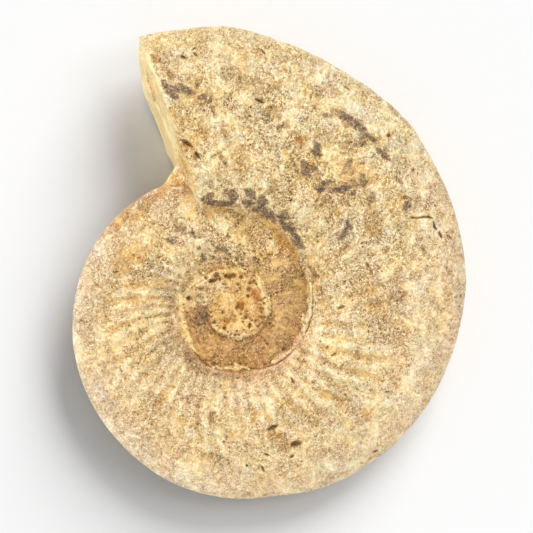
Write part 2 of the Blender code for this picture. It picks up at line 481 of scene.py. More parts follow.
height = (height_share * half_thickness + side * rib) * fullness
belly = math.e ** (0 - ((out - BELLY_MIDDLE) / BELLY_WIDTH) ** 2.0) * is_below(height, 0.0)
shift = (CUT_SHIFT + CUT_LEAN * height + CUT_BELLY * belly) * (1 - fade(0.9, 1.0, out))
by_cut = fade(CUT_ANGLE - CUT_BLEND, CUT_ANGLE, angle)
turned = turned - by_cut * shift / radius * (180 / math.pi)
place = vector(shell_tree, radius * cosine(turned), radius * sine(turned), height)
tube = add_node(shell_tree, "GeometryNodeSetPosition", Geometry=grid, Position=place)
tube = add_node(shell_tree, "GeometryNodeMergeByDistance", Geometry=tube, Distance=SAME_POINT)
print("the tube takes", len(shell_tree.nodes), "nodes")


# %% [markdown]
# ## The plug and the fillet
# Rock fills the middle of the coil: a disc whose rim follows the seam for one turn.

# %% Plug
PLUG_EDGE_ANGLE = 175.0  # the turn of the rim ends here
PLUG_OVERLAP = 0.5

disc = add_node(
    shell_tree,
    "GeometryNodeMeshCylinder",
    Vertices=180,
    Side_Segments=4,
    Fill_Segments=8,
    Radius=1.0,
    Depth=2 * given["Plug height"],
)
x, y, z = parts_of(add_node(shell_tree, "GeometryNodeInputPosition"))
disc_angle = y.math("ARCTAN2", y, x) * (180 / math.pi)
disc_angle = disc_angle + 360 * is_below(disc_angle, PLUG_EDGE_ANGLE - 360)
disc_angle = disc_angle - 360 * is_above(disc_angle, PLUG_EDGE_ANGLE)
disc_radius = given["Seam radius"] * given["Seam growth"] ** ((disc_angle - CUT_ANGLE) / 360)
disc_radius = disc_radius * seam_wave(disc_angle) + PLUG_OVERLAP
disc_place = vector(shell_tree, x * disc_radius, y * disc_radius, z)
disc = add_node(shell_tree, "GeometryNodeSetPosition", Geometry=disc, Position=disc_place)
print("the plug is", 2 * SHELL_INPUTS["Plug height"], "mm thick")


# %% [markdown]
# A lump of the same rock fills the corner between the broken end and the turn below it. A sphere pressed
# into an egg is enough, because the next steps melt and smooth it.

# %% Fillet, join, and the tree as a modifier
LUMP_ANGLE, LUMP_FROM_AXIS = math.radians(109), 58
LUMP_SIZE = (6.5, 9.8, 8.5)

lump = add_node(shell_tree, "GeometryNodeMeshIcoSphere", Radius=1.0, Subdivisions=4)
lump = add_node(
    shell_tree,
    "GeometryNodeTransform",
    Geometry=lump,
    Translation=(LUMP_FROM_AXIS * math.cos(LUMP_ANGLE), LUMP_FROM_AXIS * math.sin(LUMP_ANGLE), 0.0),
    Rotation=(0.0, 0.0, LUMP_ANGLE),
    Scale=LUMP_SIZE,
)
joined = shell_tree.nodes.new("GeometryNodeJoinGeometry")
for shape in (tube, disc, lump):
    shell_tree.links.new(shape.socket, joined.inputs[0])
end_tree(shell_tree, Number(shell_tree, joined.outputs[0]), given["Stone"])

limestone = bpy.data.materials.new("cream limestone")
limestone.use_nodes = True
fossil = bpy.data.objects.new("fossil", bpy.data.meshes.new("fossil"))
bpy.context.scene.collection.objects.link(fossil)
put_on(fossil, shell_tree, SHELL_INPUTS, limestone)


# %% [markdown]
# ## One stone
# The tube overlaps the turn before it, and the plug and the lump stand in it. A voxel remesh melts them
# into one closed skin of even cells, the way the rock is one mass, and rounds the joints a little.

# %% Remesh
VOXEL = 0.55

melting = fossil.modifiers.new("melting", "REMESH")
melting.mode = "VOXEL"
melting.voxel_size = VOXEL
melting.use_smooth_shade = True
print("the skin's cells are", VOXEL, "mm wide")


# %% [markdown]
# ## Weathering
# Old limestone isn't smooth: it has shallow swellings, grains that stand out, and small holes where grains
# fell out. These repeat over the whole stone, so a second tree makes them from noise. It doesn't move the
# skin itself. It writes the height at each point into an attribute, so that the fresh break, which is
# smoother, can take less of it later.

# %% The weathering tree
WEATHER_INPUTS = {
    "Swelling size": 7.0,
    "Swelling height": 0.30,
    "Grain size": 1.7,
    "Grain height": 0.21,
    "Hole spacing": 4.2,
    "Hole depth": 0.5,
    "Seed": 11,
}
HOLES_FROM, HOLE_EDGE = 0.72, (0.06, 0.22)

weather_tree, wanted = new_tree("weathering", WEATHER_INPUTS, takes_geometry=True)
where = add_node(weather_tree, "GeometryNodeInputPosition")
swellings = soft_noise(weather_tree, where, 1 / wanted["Swelling size"], 1.0, wanted["Seed"])
raised_grains = soft_noise(weather_tree, where, 1 / wanted["Grain size"], 1.0, wanted["Seed"] + 9)
cell = {"voronoi_dimensions": "3D", "feature": "F1"}
hole = {"Vector": where, "Scale": 1 / wanted["Hole spacing"]}
hole_reach = add_node(weather_tree, "ShaderNodeTexVoronoi", cell, "Distance", **hole)
chance, breadth, _ = parts_of(add_node(weather_tree, "ShaderNodeTexVoronoi", cell, "Color", **hole))
holes = is_above(chance, HOLES_FROM) * (1 - fade(*HOLE_EDGE, hole_reach - 0.1 * breadth))
weather_height = wanted["Swelling height"] * swellings + wanted["Grain height"] * raised_grains
weather_height = weather_height - wanted["Hole depth"] * holes
skin = add_node(
    weather_tree,
    "GeometryNodeStoreNamedAttribute",
    Geometry=wanted["Geometry"],
    Name="weather",
    Value=weather_height,
)
end_tree(weather_tree, skin, wanted["Stone"])
put_on(fossil, weather_tree, WEATHER_INPUTS, limestone)


# %% [markdown]
# Running the modifiers and keeping only their result gives a plain mesh. Numpy arrays of its points and
# normals are what the carving below works on.

# %% From modifiers to a plain mesh
def bake(thing):
    """Replaces the object's mesh with what its modifiers make of it, and removes them."""
    graph = bpy.context.evaluated_depsgraph_get()
    made = bpy.data.meshes.new_from_object(thing.evaluated_get(graph))
    thing.modifiers.clear()
    thing.data = made
    made.materials.clear()
    made.materials.append(limestone)
    print(thing.name, "has", len(made.vertices), "points and", len(made.polygons), "faces")


def read(values, name, width=1):
    """One number or vector of every point, as an array."""
    numbers = np.empty(len(values) * width, np.float32)
    values.foreach_get(name, numbers)
    return numbers.astype(float).reshape(-1, width) if width > 1 else numbers.astype(float)


def write_points(thing, points):
    thing.data.vertices.foreach_set("co", points.astype(np.float32).ravel())
    thing.data.update()


bake(fossil)


# %% [markdown]
# ## The way it lies
# The stone is tipped onto its lower flank, so that the last whorl, the plug and the rim share the load. It
# sinks a little below the floor's level, and what is below is worn flat at the end.

# %% Lay it down
COIL_CENTRE = np.array([-15.3, -18.8, 0.0])
LIE_TILT = math.radians(2.4)
LIE_AXIS = math.radians(12.0)
FLAT_DEPTH = 1.1

tip = np.array(Matrix.Rotation(LIE_TILT, 3, (math.cos(LIE_AXIS), math.sin(LIE_AXIS), 0)))
points = read(fossil.data.vertices, "co", 3) @ tip.T
lift = COIL_CENTRE - (0, 0, points[:, 2].min() + FLAT_DEPTH)
points += lift
write_points(fossil, points)
print("the stone is", round(points[:, 2].max(), 1), "mm high")


# %% [markdown]
# ## Reading the coil backwards
# Wear and colour follow the coil: the rim, the seam, one rib. So each point is asked how far it is wound
# and how far out it is between the seam (0) and the outer edge (1). A point inside the seam of the last
# whorl belongs to the turn before.

# %% Where a point is on the coil
LAST_WHORL_START = CUT_ANGLE - 360


def smooth_step(low, high, value):
    share = np.clip((value - low) / (high - low), 0, 1)
    return share * share * (3 - 2 * share)


def seam_at(turned):
    back = (turned - CUT_ANGLE) / 360
    wave_share = 1 + np.cos(np.radians(turned - WAVE_ANGLE))
    grown = SHELL_INPUTS["Seam radius"] * SHELL_INPUTS["Seam growth"] ** back
    return grown * (1 - SHELL_INPUTS["Seam wave"] * wave_share)


def edge_at(turned):
    return SHELL_INPUTS["Outer radius"] * SHELL_INPUTS["Outer growth"] ** ((turned - CUT_ANGLE) / 360)


def coil_place(points):
    """How far each point is from the coil's axis, the angle it is wound to, and its way out."""
    flat = (points - lift) @ tip
    radius = np.hypot(flat[:, 0], flat[:, 1])
    turned = np.degrees(np.arctan2(flat[:, 1], flat[:, 0]))
    turned = CUT_ANGLE - (CUT_ANGLE - turned) % 360
    turned -= 360 * (radius < seam_at(turned))
    way_out = (radius - seam_at(turned)) / (edge_at(turned) - seam_at(turned))
    return radius, turned, way_out


radius, turned, way_out = coil_place(points)
print("share of the points on the last whorl:", round(float((turned > LAST_WHORL_START).mean()), 2))


# %% [markdown]
# The face of the break is found too: it lies within a few mm of the cut, far from the axis, and faces
# along the coil.

# %% Where the fresh break is
BREAK_START, BREAK_END, BREAK_FROM_AXIS = (-9, -5), 16, 50  # mm
BREAK_FACING = (0.35, 0.65)


def on_break(points, normals):
    """1 on the fresh face where the last whorl is broken off, 0 elsewhere."""
    cut = math.radians(CUT_ANGLE)
    forwards = (-math.sin(cut), math.cos(cut), 0)
    outwards = (math.cos(cut), math.sin(cut), 0)
    flat = (points - lift) @ tip
    ahead, from_axis = flat @ forwards, flat @ outwards
    near = smooth_step(*BREAK_START, ahead) * (ahead < BREAK_END) * (from_axis > BREAK_FROM_AXIS)
    return near * smooth_step(*BREAK_FACING, (normals @ tip) @ forwards)


normals = read(fossil.data.vertices, "normal", 3)
fresh = on_break(points, normals)
print("points on the break:", int((fresh > 0.5).sum()))


# %% [markdown]
# Wear takes the sharp edges first. To find them, the neighbours' mean place is taken a few times over.
# That gives a smoothed skin, and a point's height above that skin says whether it stands proud or lies in
# a hollow. Few rounds show grains and pits, many rounds show ribs and edges.

# %% A smoothed skin, and a point's height above it
def mean_of_neighbours(ends, values, rounds):
    """The mean over each point and its neighbours, a few times over; ends are the edges' two points."""
    here, there = ends.T
    count = len(values)
    share = 1 / (np.bincount(ends.ravel(), minlength=count) + 1)
    columns = [values[:, axis] for axis in range(values.shape[1])]
    for _ in range(rounds):
        columns = [
            share * (one + np.bincount(here, one[there], count) + np.bincount(there, one[here], count))
            for one in columns
        ]
    return np.stack(columns, 1)


def smoothed(thing, values, rounds, chosen=None):
    """The smoothed values of all points, or with only the chosen points smoothed."""
    ends = np.empty(len(thing.data.edges) * 2, np.int32)
    thing.data.edges.foreach_get("vertices", ends)
    ends = ends.reshape(-1, 2)
    if chosen is None:
        return mean_of_neighbours(ends, values, rounds)
    new_number = np.cumsum(chosen) - 1
    ends = new_number[ends[chosen[ends].all(1)]]
    values = values.copy()
    values[chosen] = mean_of_neighbours(ends, values[chosen], rounds)
    return values


def height_above(skin, points, normals):
    return np.einsum("ij,ij->i", points - skin, normals)


print("the skin has", len(fossil.data.edges), "edges between neighbours")


# %% [markdown]
# ## Carving the wear
# Wear isn't a rule, so it is carved at listed places. First the weathering is taken from its attribute, less
# of it on the break and more near it. Then the outer edge is worn in here, and chipped or bulging there.

# %% Weathering and worn edge
ROUGH_BY_CUT = (375, 400)
EDGE_WEAR = (  # angle, mm outwards, half width in degrees
    (119.0, 0.8, 4.0),
    (252.0, 0.7, 13.0),
    (283.0, -1.2, 8.0),
    (368.0, 0.7, 9.0),
    (407.0, 1.0, 7.0),
    (426.0, -0.8, 10.0),
    (451.0, 1.6, 7.0),
)

weather = read(fossil.data.attributes["weather"].data, "value")
rough = 1 + 0.5 * smooth_step(*ROUGH_BY_CUT, turned) - 0.8 * fresh
points += normals * (weather * rough)[:, None]

outwards = np.zeros_like(points)
outwards[:, :2] = (points - COIL_CENTRE)[:, :2] / np.maximum(radius, 1.0)[:, None]
edge_wear = sum(by * np.exp(-(((turned - at) / wide) ** 2)) for at, by, wide in EDGE_WEAR)
points += outwards * (edge_wear * np.clip(way_out, 0, 1) * (turned > LAST_WHORL_START))[:, None]
print("weathering from", round(float(weather.min()), 2), "to", round(float(weather.max()), 2), "mm")


# %% [markdown]
# Then come the larger holes, each an oval that is as wide across as given and longer along the coil. The
# weathering goes into the oval's outline too, so that no hole is a clean oval.

# %% Larger holes
HOLES = (  # distance from the axis, angle, half length along the coil, half width, all but the angle in mm
    (11.3, 29.0, 2.6, 1.5),
    (3.6, 6.0, 1.9, 1.7),
    (6.0, -113.0, 1.8, 1.4),
    (14.1, 122.0, 3.4, 0.9),
    (18.7, 168.0, 1.2, 1.0),
    (71.0, 105.3, 2.4, 1.5),
    (65.3, 103.0, 1.8, 1.3),
    (109.0, 107.3, 1.8, 2.4),
    (107.8, 101.0, 2.2, 1.4),
    (101.8, 104.8, 1.9, 1.9),
    (87.7, 82.3, 2.0, 1.1),
    (63.4, 295.0, 2.4, 1.5),
    (53.2, 287.7, 1.8, 1.4),
    (84.0, 17.0, 2.6, 1.2),
)
HOLE_DEPTH = 1.15
FACING_UP = (0.0, 0.35)

upper = smooth_step(*FACING_UP, normals[:, 2])
for from_axis, at, along_half, across_half in HOLES:
    towards_hole = np.array([math.cos(math.radians(at)), math.sin(math.radians(at))])
    along_coil_there = np.array([-towards_hole[1], towards_hole[0]])
    offset = points[:, :2] - (COIL_CENTRE[:2] + from_axis * towards_hole)
    share = (offset @ along_coil_there / along_half) ** 2 + (offset @ towards_hole / across_half) ** 2
    depth = np.clip(1 - (share + 1.2 * weather), 0, 1) ** 0.7
    points -= normals * (HOLE_DEPTH * upper * depth)[:, None]
print(len(HOLES), "holes carved")


# %% [markdown]
# The rim of the break crumbles back wherever it is sharp, which is where it stands above a much smoothed
# skin. The rock below it runs out in a smooth fillet, so the points there are smoothed themselves.

# %% Crumbled edges and fillet
SHARP_FROM = 0.35  # mm above the smoothed skin
FILLET_SPOT, FILLET_REACH = (-41.5, 36.0), 11.0

wide_skin = smoothed(fossil, points, 40)
edge = np.clip(height_above(wide_skin, points, normals) - SHARP_FROM, 0, 2)
points -= normals * (edge * np.clip(0.75 + 1.3 * weather, 0, 1.6))[:, None]
from_fillet = np.hypot(*(points[:, :2] - FILLET_SPOT).T)
into_fillet = 1 - smooth_step(0.3 * FILLET_REACH, FILLET_REACH, from_fillet)
fillet_skin = smoothed(fossil, points, 150, from_fillet < 1.5 * FILLET_REACH)
points += (fillet_skin - points) * into_fillet[:, None]
print("sharpest edge", round(float(edge.max()), 2), "mm")


# %% [markdown]
# ## Marks
# Each mark on the upper side is a short stroke: how wide it is, how strong, and the points that it runs
# through, in mm. Stains are grey and purple mineral films, and pits are cracks and small holes painted dark,
# partly in their own brown and partly as painted shade inside them. The rest are patches where the lime is
# ochre, rusty, brown or pale. Keeping them as strokes means that the carving and the colour use the same
# list, so that a pit is deep where it is painted dark.

# %% The strokes
MARKS = {
    "stain": [
        (1.4, 0.8, -44.3, 75.9, -42.6, 73, -40.1, 70, -38.4, 69.2),
        (1.4, 0.9, -42.6, 73, -39.2, 73, -35.9, 72.6, -32.5, 71.7, -30.8, 71.3),
        (1.1, 0.7, -37.6, 74.7, -35, 73), (1.1, 0.7, -30.4, 75.5, -30, 73.4),
        (1.7, 0.6, -29.1, 69.2, -26.6, 69.6, -24.5, 68.8, -26.2, 67.5),
        (1.1, 0.35, -24.1, 66.2, -23.2, 63.7, -22.8, 62), (1.4, 0.5, -20.3, 45.1, -19, 43, -18.1, 40.5),
        (1.7, 0.35, -10.5, 81.9, -8.4, 80.6), (1.1, 0.8, -0.8, 62), (0.9, 0.7, -1.3, 59.1),
        (0.9, 0.8, 4.2, 56.5), (0.7, 0.7, 5.9, 57.4),
        (1.7, 0.9, 19, 50.2, 20.3, 48.5, 19.8, 46.4, 21.5, 45.1), (1.1, 0.6, 17.7, 47.3),
        (2, 0.7, 14.3, 42.2, 15.6, 40.1, 14.8, 37.6, 16.9, 36.7), (1.7, 0.6, 17.7, 40.1, 19.8, 39.2),
        (1.1, 0.5, 11, 40.9), (0.8, 0.8, 11.4, 38.4),
        (1.4, 0.9, 19.8, 31.2, 21.1, 30.4, 22.4, 32.1, 25.7, 34.2),
        (1.4, 0.85, -27.4, 26.6, -25.3, 27.4, -23.6, 29.1),
        (1, 0.95, -27, 25.3, -23.6, 25.3, -19.8, 24.9, -16.5, 24.9, -13.9, 26.2),
        (1.1, 0.45, -24.5, 34.6, -23.6, 30.8), (1.4, 0.5, -18.1, 29.1),
        (1.7, 0.75, -15.6, 30, -14.8, 27.4, -14.8, 25.7), (1.7, 0.9, -9.3, 30.4, -7.2, 28.7, -6.3, 27.4),
        (1.7, 0.9, -10.5, 25.3, -8.4, 24.9, -7.2, 24.1), (2.3, 0.8, -3, 27.4, -3, 24.9, -4.2, 23.2),
        (1.7, 0.45, -1.3, 29.1, 1.3, 30.8, 2.5, 33.8, 0.4, 35),
        (2, 0.9, -6.3, 22.8, -3, 21.9, -0.4, 20.3, 2.1, 18.1), (1.7, 0.95, 3.8, 19.4, 6.3, 19.8, 8, 19),
        (1.7, 0.9, 5.1, 17.3, 7.2, 15.2, 9.7, 14.3, 8.9, 16.5),
        (1.7, 0.85, 9.7, 13.1, 11.4, 9.7, 13.1, 7.2, 14.3, 6.3),
        (1.1, 0.6, 16.5, -0.8, 18.1, -3, 19, -5.5, 18.6, -8.4),
        (1.7, 0.75, 26.6, 64.1, 29.5, 62.9, 32.1, 60.8, 35, 59.5, 37.6, 57.4, 40.1, 54.9, 41.8, 52.7,
         43.9, 51.9),
        (1.1, 0.5, 22.8, 62, 25.7, 61.6, 28.7, 62), (1.7, 0.5, 31.2, 58.6, 33.8, 57.8),
        (2, 0.55, 38.4, 54, 39.2, 51.1, 37.1, 49.4), (1.3, 0.7, 45.6, 47.7, 48.1, 45.6, 50.2, 43.5),
        (1.1, 0.35, 39.2, 59.9), (1.7, 0.6, 34.2, 43, 32.5, 40.1, 31.2, 37.6),
        (1.1, 0.45, 35.9, 39.2, 34.2, 36.7), (1.7, 0.8, 39.2, 36.7, 39.2, 34.2, 40.1, 32.1),
        (1.7, 0.5, 34.6, 34.2, 36.7, 32.9), (1.3, 0.8, 27.4, 30.4, 30.4, 30.8, 34.2, 32.1),
        (0.9, 0.7, 34.2, 28.7, 36.7, 30.4), (1.1, 0.6, 43, 29.5, 43.5, 27.4, 42.6, 25.3),
        (1, 0.6, 53.6, 35.4, 56.1, 33.3), (1, 0.6, 55.7, 27.4, 58.2, 27, 59.9, 26.6),
        (1.4, 0.8, 59.1, 25.7, 57, 22.8), (1.3, 0.75, 32.9, 17.3, 33.8, 14.8, 31.6, 12.2, 30, 9.7),
        (1.4, 0.55, -38.8, 13.5, -37.1, 14.8, -35, 13.9), (1.5, 0.6, -33.3, 12.7, -30.8, 11.8, -27.8, 11.4),
        (0.9, 0.4, -28.7, 13.1, -25.7, 14.3), (1.5, 0.6, -42.6, 9.7, -40.5, 9.3, -38.8, 10.5),
        (0.9, 0.8, -29.5, 6.3), (0.9, 0.45, -32.1, 4.6, -31.6, 2.5),
        (1.1, 0.65, -27.8, 3.8, -27.4, 1.7, -28.7, 0.4), (0.9, 0.55, -24.5, 3, -22.8, 1.7),
        (1.1, 0.6, -22.4, 5.5, -20.3, 6.3, -18.1, 5.1, -16.9, 3.8), (0.8, 0.5, -17.3, 3.8, -15.6, 2.1),
        (0.9, 0.6, -13.9, 1.3, -12.7, 3), (0.7, 0.45, -11, 3.4, -10.5, 2.1),
        (1, 0.55, -6.3, 2.5, -5.1, 0.8, -4.2, -0.8), (0.7, 0.4, -16, -0.4, -14.3, -1.3),
        (2.3, 0.4, -30.4, -18.6, -30.8, -21.1, -29.1, -23.2, -31.2, -26.6, -30, -28.7),
        (2.3, 0.55, -27, -20.7, -27.4, -24.9), (2.3, 0.35, -30.8, -14.8, -27.8, -16.5),
        (1.1, 0.6, -54.4, -27.8, -52.7, -29.1), (0.9, 0.3, -57, -24.5),
        (0.7, 0.45, -65.8, -3.8, -62.9, -3.4), (1.1, 0.4, -73, -9.3, -70.5, -9.3, -67.9, -8.4),
        (0.9, 0.35, -62.9, -43, -62, -45.6), (1.1, 0.5, -25.3, -65, -24.1, -63.7, -22.8, -62.4),
        (1.4, 0.5, -24.1, -66.2), (3.4, 0.28, -29.1, -81.4, -22.8, -82.7, -16.5, -84),
        (2.8, 0.4, -35.4, -38, -32.9, -40.5, -30, -43.5, -26.6, -45.6),
        (2, 0.3, -23.2, -46.8, -18.1, -48.1, -13.1, -48.5), (1.4, 0.35, -11, -48.5, -8, -49.4),
        (1.1, 0.5, -10.1, -4.2, -8.9, -5.1), (1.4, 0.35, -10.1, -33.3, -8.9, -36.3),
        (1.7, 0.3, 13.9, -13.5, 14.8, -15.2),
    ],
    "pit": [
        (0.4, 0.83, -2.1, -16.9), (0.4, 0.78, -2.5, -19.4), (0.4, 0.83, -4.6, -26.6),
        (0.4, 0.78, -7.2, -28.7), (0.4, 0.78, -9.3, -29.5), (0.4, 0.78, -17.3, -29.1),
        (0.4, 0.73, -20.7, -27.4), (0.4, 0.78, -24.1, -22.8), (0.4, 0.73, -31.2, -19.4),
        (0.4, 0.73, -29.1, -21.1), (0.5, 0.78, -30.8, -23.2), (0.4, 0.73, -27.8, -23.2),
        (0.5, 0.73, -29.5, -25.7), (0.4, 0.73, -31.6, -27), (0.4, 0.69, -27, -25.7),
        (0.4, 0.69, -28.7, -28.3), (0.7, 1, -37.1, 51.5, -34.6, 50.6, -32.1, 48.5),
        (0.5, 0.9, -30.8, 46.4, -29.5, 44.3, -28.7, 43.5), (0.5, 0.7, -45.6, 86.5, -45.6, 84.4),
        (0.5, 0.8, -37.1, 87.3, -35.4, 86.1, -34.2, 86.1), (0.4, 0.7, -32.5, 89.5, -30.8, 90.3),
        (0.4, 0.7, -31.6, 88.2, -30, 86.9), (0.6, 1, -5.5, 68.4, -4.2, 68.1, -2.5, 67.1),
        (0.4, 0.8, -3.4, 89.9, -2.5, 89, -1.7, 87.8), (0.5, 0.8, -27, 63.7),
        (0.4, 0.6, -24.5, 43.5, -23.2, 44.7, -21.1, 46), (0.4, 0.6, -16, 52.3),
        (0.5, 0.8, 59.5, 19.2, 62, 18.8, 64.1, 19.2), (0.5, 1, 64.1, 19.2, 66.7, 19.4, 68.8, 18.8),
        (0.5, 1, 69.2, 17.3, 69.6, 15.2, 70.5, 13.9), (0.5, 1, 71.3, 13.1, 72.2, 11.8, 73, 10.1),
        (0.4, 0.7, 74.7, 11.8, 76.8, 10.5), (0.7, 0.9, 50.2, 53.6),
        (0.4, 0.6, 31.6, 74.3, 32.9, 73.8, 33.8, 72.6), (0.5, 0.7, 65, 5.9), (0.5, 0.9, 20.3, 8.9),
        (0.6, 0.8, 40.9, 0, 41.8, -1.7), (0.5, 0.8, 20.7, -5.5), (0.6, 0.85, 29.1, -19, 31.6, -18.1),
        (0.5, 0.9, 26.2, -38.8, 28.3, -38), (0.5, 0.8, 21.5, -32.9), (0.5, 0.8, 24.5, -35.4),
        (0.5, 0.9, 12.2, -40.5), (0.4, 0.8, 15.2, -41.8), (0.4, 0.85, 9.3, -48.1, 10.5, -50.6),
        (0.5, 0.9, 32.1, -55.3), (0.4, 0.7, 29.1, -46.4), (0.4, 0.7, 41.8, -28.7), (0.4, 0.7, 42.2, -35.9),
        (0.4, 0.6, 65.8, -40.5), (0.4, 0.6, 63.3, -54.9), (0.4, 0.6, 66.7, -52.7), (0.4, 0.6, 48.5, -57.8),
        (0.4, 0.6, 70.9, -27), (0.4, 0.6, 54, -27.8), (0.9, 1, 9.7, -76.4, 11.4, -75.9, 13.1, -75.9),
        (0.6, 0.9, 9.3, -81.9, 10.1, -81), (0.7, 0.85, 0, -70, 1.3, -69.2, 3.4, -68.4),
        (0.5, 0.7, -2.1, -80.2, 0, -81), (0.5, 0.9, -9.7, -84.8, -8.9, -85.7),
        (0.5, 0.8, -3, -85.7, -2.1, -87.8), (0.5, 0.7, 43.9, -79.7, 46, -79.3), (0.5, 0.6, 25.7, -68.4),
        (0.4, 0.6, -19, -75.1), (0.4, 0.6, -9.7, -75.1), (0.4, 0.6, -16.5, -77.6), (0.4, 0.6, 13.9, -83.5),
        (0.4, 0.5, 24.1, -88.6), (0.4, 0.6, 34.2, -81), (0.4, 0.6, 32.1, -72.6),
        (0.5, 0.6, -20.7, -51.9, -19.8, -51.1), (0.5, 0.6, 18.6, -50.2), (0.4, 0.6, 48.9, -54.4, 50.2, -54),
        (0.5, 0.55, -40.9, -25.3), (0.4, 0.65, -32.5, -36.7, -29.1, -40.1, -26.2, -42.6, -23.6, -44.3),
        (0.4, 0.6, -8, -44.7, -3, -44.3, 2.5, -42.6, 6.8, -40.1, 11, -35.9),
        (0.4, 0.6, 14.3, -31.6, 16.5, -27.4, 18.1, -21.9, 18.6, -15.6, 18.1, -9.3),
        (0.8, 0.7, -22.8, -42.6), (0.5, 0.7, 0.4, -42.2), (0.7, 0.88, -34, -14.8), (0.7, 0.73, -26.6, -6.3),
        (0.9, 0.73, -24.5, -7.6), (0.9, 0.69, -21.9, -5.1), (0.7, 0.78, -20.7, -6.8),
        (0.6, 0.59, -19.4, -4.6), (0.8, 0.73, -18.1, -5.5), (0.9, 0.78, -16.5, -5.9),
        (0.9, 0.73, -14.8, -5.5), (0.6, 0.69, -22.4, -7.2), (0.7, 0.93, -11.8, -5.9),
        (0.6, 0.78, -13.1, -8.9), (0.6, 0.59, -18.6, -8.9), (0.5, 0.59, -18.1, -10.5),
        (0.5, 0.69, -13.5, -11.8), (0.6, 0.69, -12.2, -10.5), (0.8, 0.59, -28.3, -11),
        (0.6, 0.49, -30.4, -11), (0.7, 0.78, -8, -8.4), (0.6, 0.78, -6.3, -7.6), (0.6, 0.69, -5.1, -8.9),
        (1, 0.69, -8.4, -11), (0.6, 0.69, -3.4, -15.6), (0.7, 0.78, -8.9, -13.9), (0.6, 0.88, -13.5, -19),
        (0.5, 0.78, -11, -19.4), (0.5, 0.78, -9.3, -20.3), (0.5, 0.69, -11.8, -21.5),
        (0.9, 0.83, -9.7, -22.8), (0.5, 0.69, -7.2, -24.1), (0.5, 0.69, -5.5, -24.1),
        (0.6, 0.88, -3.4, -19), (0.5, 0.78, -3, -20.7), (0.5, 0.88, -3.4, -22.8),
        (0.5, 0.93, -8, -25.3, -8.2, -27.4), (0.5, 0.69, -11, -24.9), (0.5, 0.69, -10.5, -28.3),
        (0.5, 0.78, -13.5, -28.7), (0.6, 0.78, -14.3, -30.4), (0.6, 0.78, -12.7, -30.4),
        (0.5, 0.69, -16, -30), (0.8, 0.73, -18.6, -27.4), (0.9, 0.78, -23.2, -24.9),
        (0.5, 0.59, -21.9, -26.6), (0.8, 0.59, -19.4, -20.7), (0.5, 0.59, -24.5, -20.7),
        (0.5, 0.69, -15.6, -21.5), (0.5, 0.49, -16.9, -14.8), (0.6, 0.59, -2.1, -14.8, -1.3, -14.3),
        (0.5, 0.69, -1.7, -22.8), (0.4, 0.6, -35.9, -17.7),
    ],
    "ochre": [
        (1.9, 0.7, -41.8, 38.4, -39.2, 35, -35.4, 32.1),
        (1.7, 0.55, -37.6, 51.1, -35.4, 44.3, -32.5, 36.7, -30.4, 30.8),
        (5.3, 0.6, -71.3, 12.2, -66.2, 19.8, -58.6, 24.9), (7.8, 0.33, 34.2, 39.2, 42.6, 30.8),
        (5.8, 0.33, 55.3, 28.7, 53.2, 20.3), (5.8, 0.38, 16.5, 16, 20.7, 7.6, 19.8, -11.4),
        (6.8, 0.33, -14.3, 47.7, -10.1, 39.2), (6.8, 0.33, -16.5, 87.8, -12.2, 79.3),
        (5.8, 0.33, -35.4, 58.2, -31.2, 49.8), (6.8, 0.33, 42.6, -11.4, 48.9, -21.9),
        (1.5, 0.9, -3, 19, 1.3, 15.6, 5.9, 11, 9.3, 6.3, 11.8, 1.3), (1.5, 0.9, -13.5, -18.1, -10.1, -17.3),
        (1.5, 0.8, -19.4, -24.5, -17.3, -25.3), (1.7, 0.8, -35.9, 49.4, -33.3, 48.5, -33.3, 46.8),
        (1.5, 0.6, -31.6, 46, -30.4, 44.3), (1.7, 0.8, -48.1, 85.7, -46.8, 84.8), (1, 0.6, -34.6, 90.7),
        (1.5, 0.55, -41.4, 64.1, -39.2, 62, -37.1, 57.8, -37.6, 54.4), (1, 0.6, -49.8, 93.2, -46.4, 92.4),
        (0.7, 0.6, -19, 55.3, -17.7, 52.7), (2.7, 0.6, 14.8, 51.1), (1.5, 0.5, 6.8, 46),
        (1.7, 0.5, 57.8, 58.2), (0.6, 0.7, 57.4, 54.9, 57.8, 51.9, 57.4, 48.9),
        (0.7, 0.5, 19, 75.9, 21.1, 74.3), (1, 0.5, 20.3, 69.2), (1.5, 0.45, 10.1, 62.4),
        (2.2, 0.4, 50.2, 54.4), (1.5, 0.4, 26.6, 21.1, 31.2, 21.1), (1.2, 0.6, 61.6, -4.2),
        (2.7, 0.5, 22.4, -17.7), (1.5, 0.45, 32.1, -37.6, 37.6, -39.2, 43.5, -40.1, 48.9, -40.1),
        (1.2, 0.5, 32.1, -44.3, 38.4, -46, 44.7, -47.7), (1.5, 0.45, 25.7, -55.7, 30, -57, 34.2, -57.8),
        (2.9, 0.3, 74.7, -10.5, 73.8, -15.6, 72.6, -20.3), (2.4, 0.75, -40.9, 34.2, -46, 29.5, -50.2, 27),
        (1.9, 0.45, -51.1, 24.1, -54.4, 20.7, -58.6, 18.1), (1.5, 0.3, -64.6, 15.6, -67.9, 12.2),
        (5.3, 0.75, -60.3, 5.5, -62, 0.4, -62.9, -3.8), (4.4, 0.6, -55.3, 8, -53.6, 2.1),
        (1.9, 0.4, -67.9, -7.6, -60.8, -8.9, -54.4, -8, -42.6, -8.9),
        (1.6, 0.5, -70, -14.8, -62.9, -16.5, -53.6, -16, -43.5, -15.6),
        (1.5, 0.5, -68.8, -28.7, -65, -27.4, -61.2, -25.3, -59.5, -26.6),
        (2.4, 0.45, -48.1, -59.5, -43.9, -55.7, -40.5, -52.3), (1.9, 0.5, -36.7, -66.2),
        (1.9, 0.5, -31.2, -67.9), (2.4, 0.35, -44.3, -63.3, -40.9, -62.9),
        (1.9, 0.65, -6.3, -62, -5.5, -65), (2.4, 0.5, 6.3, -74.7, 8.9, -77.6),
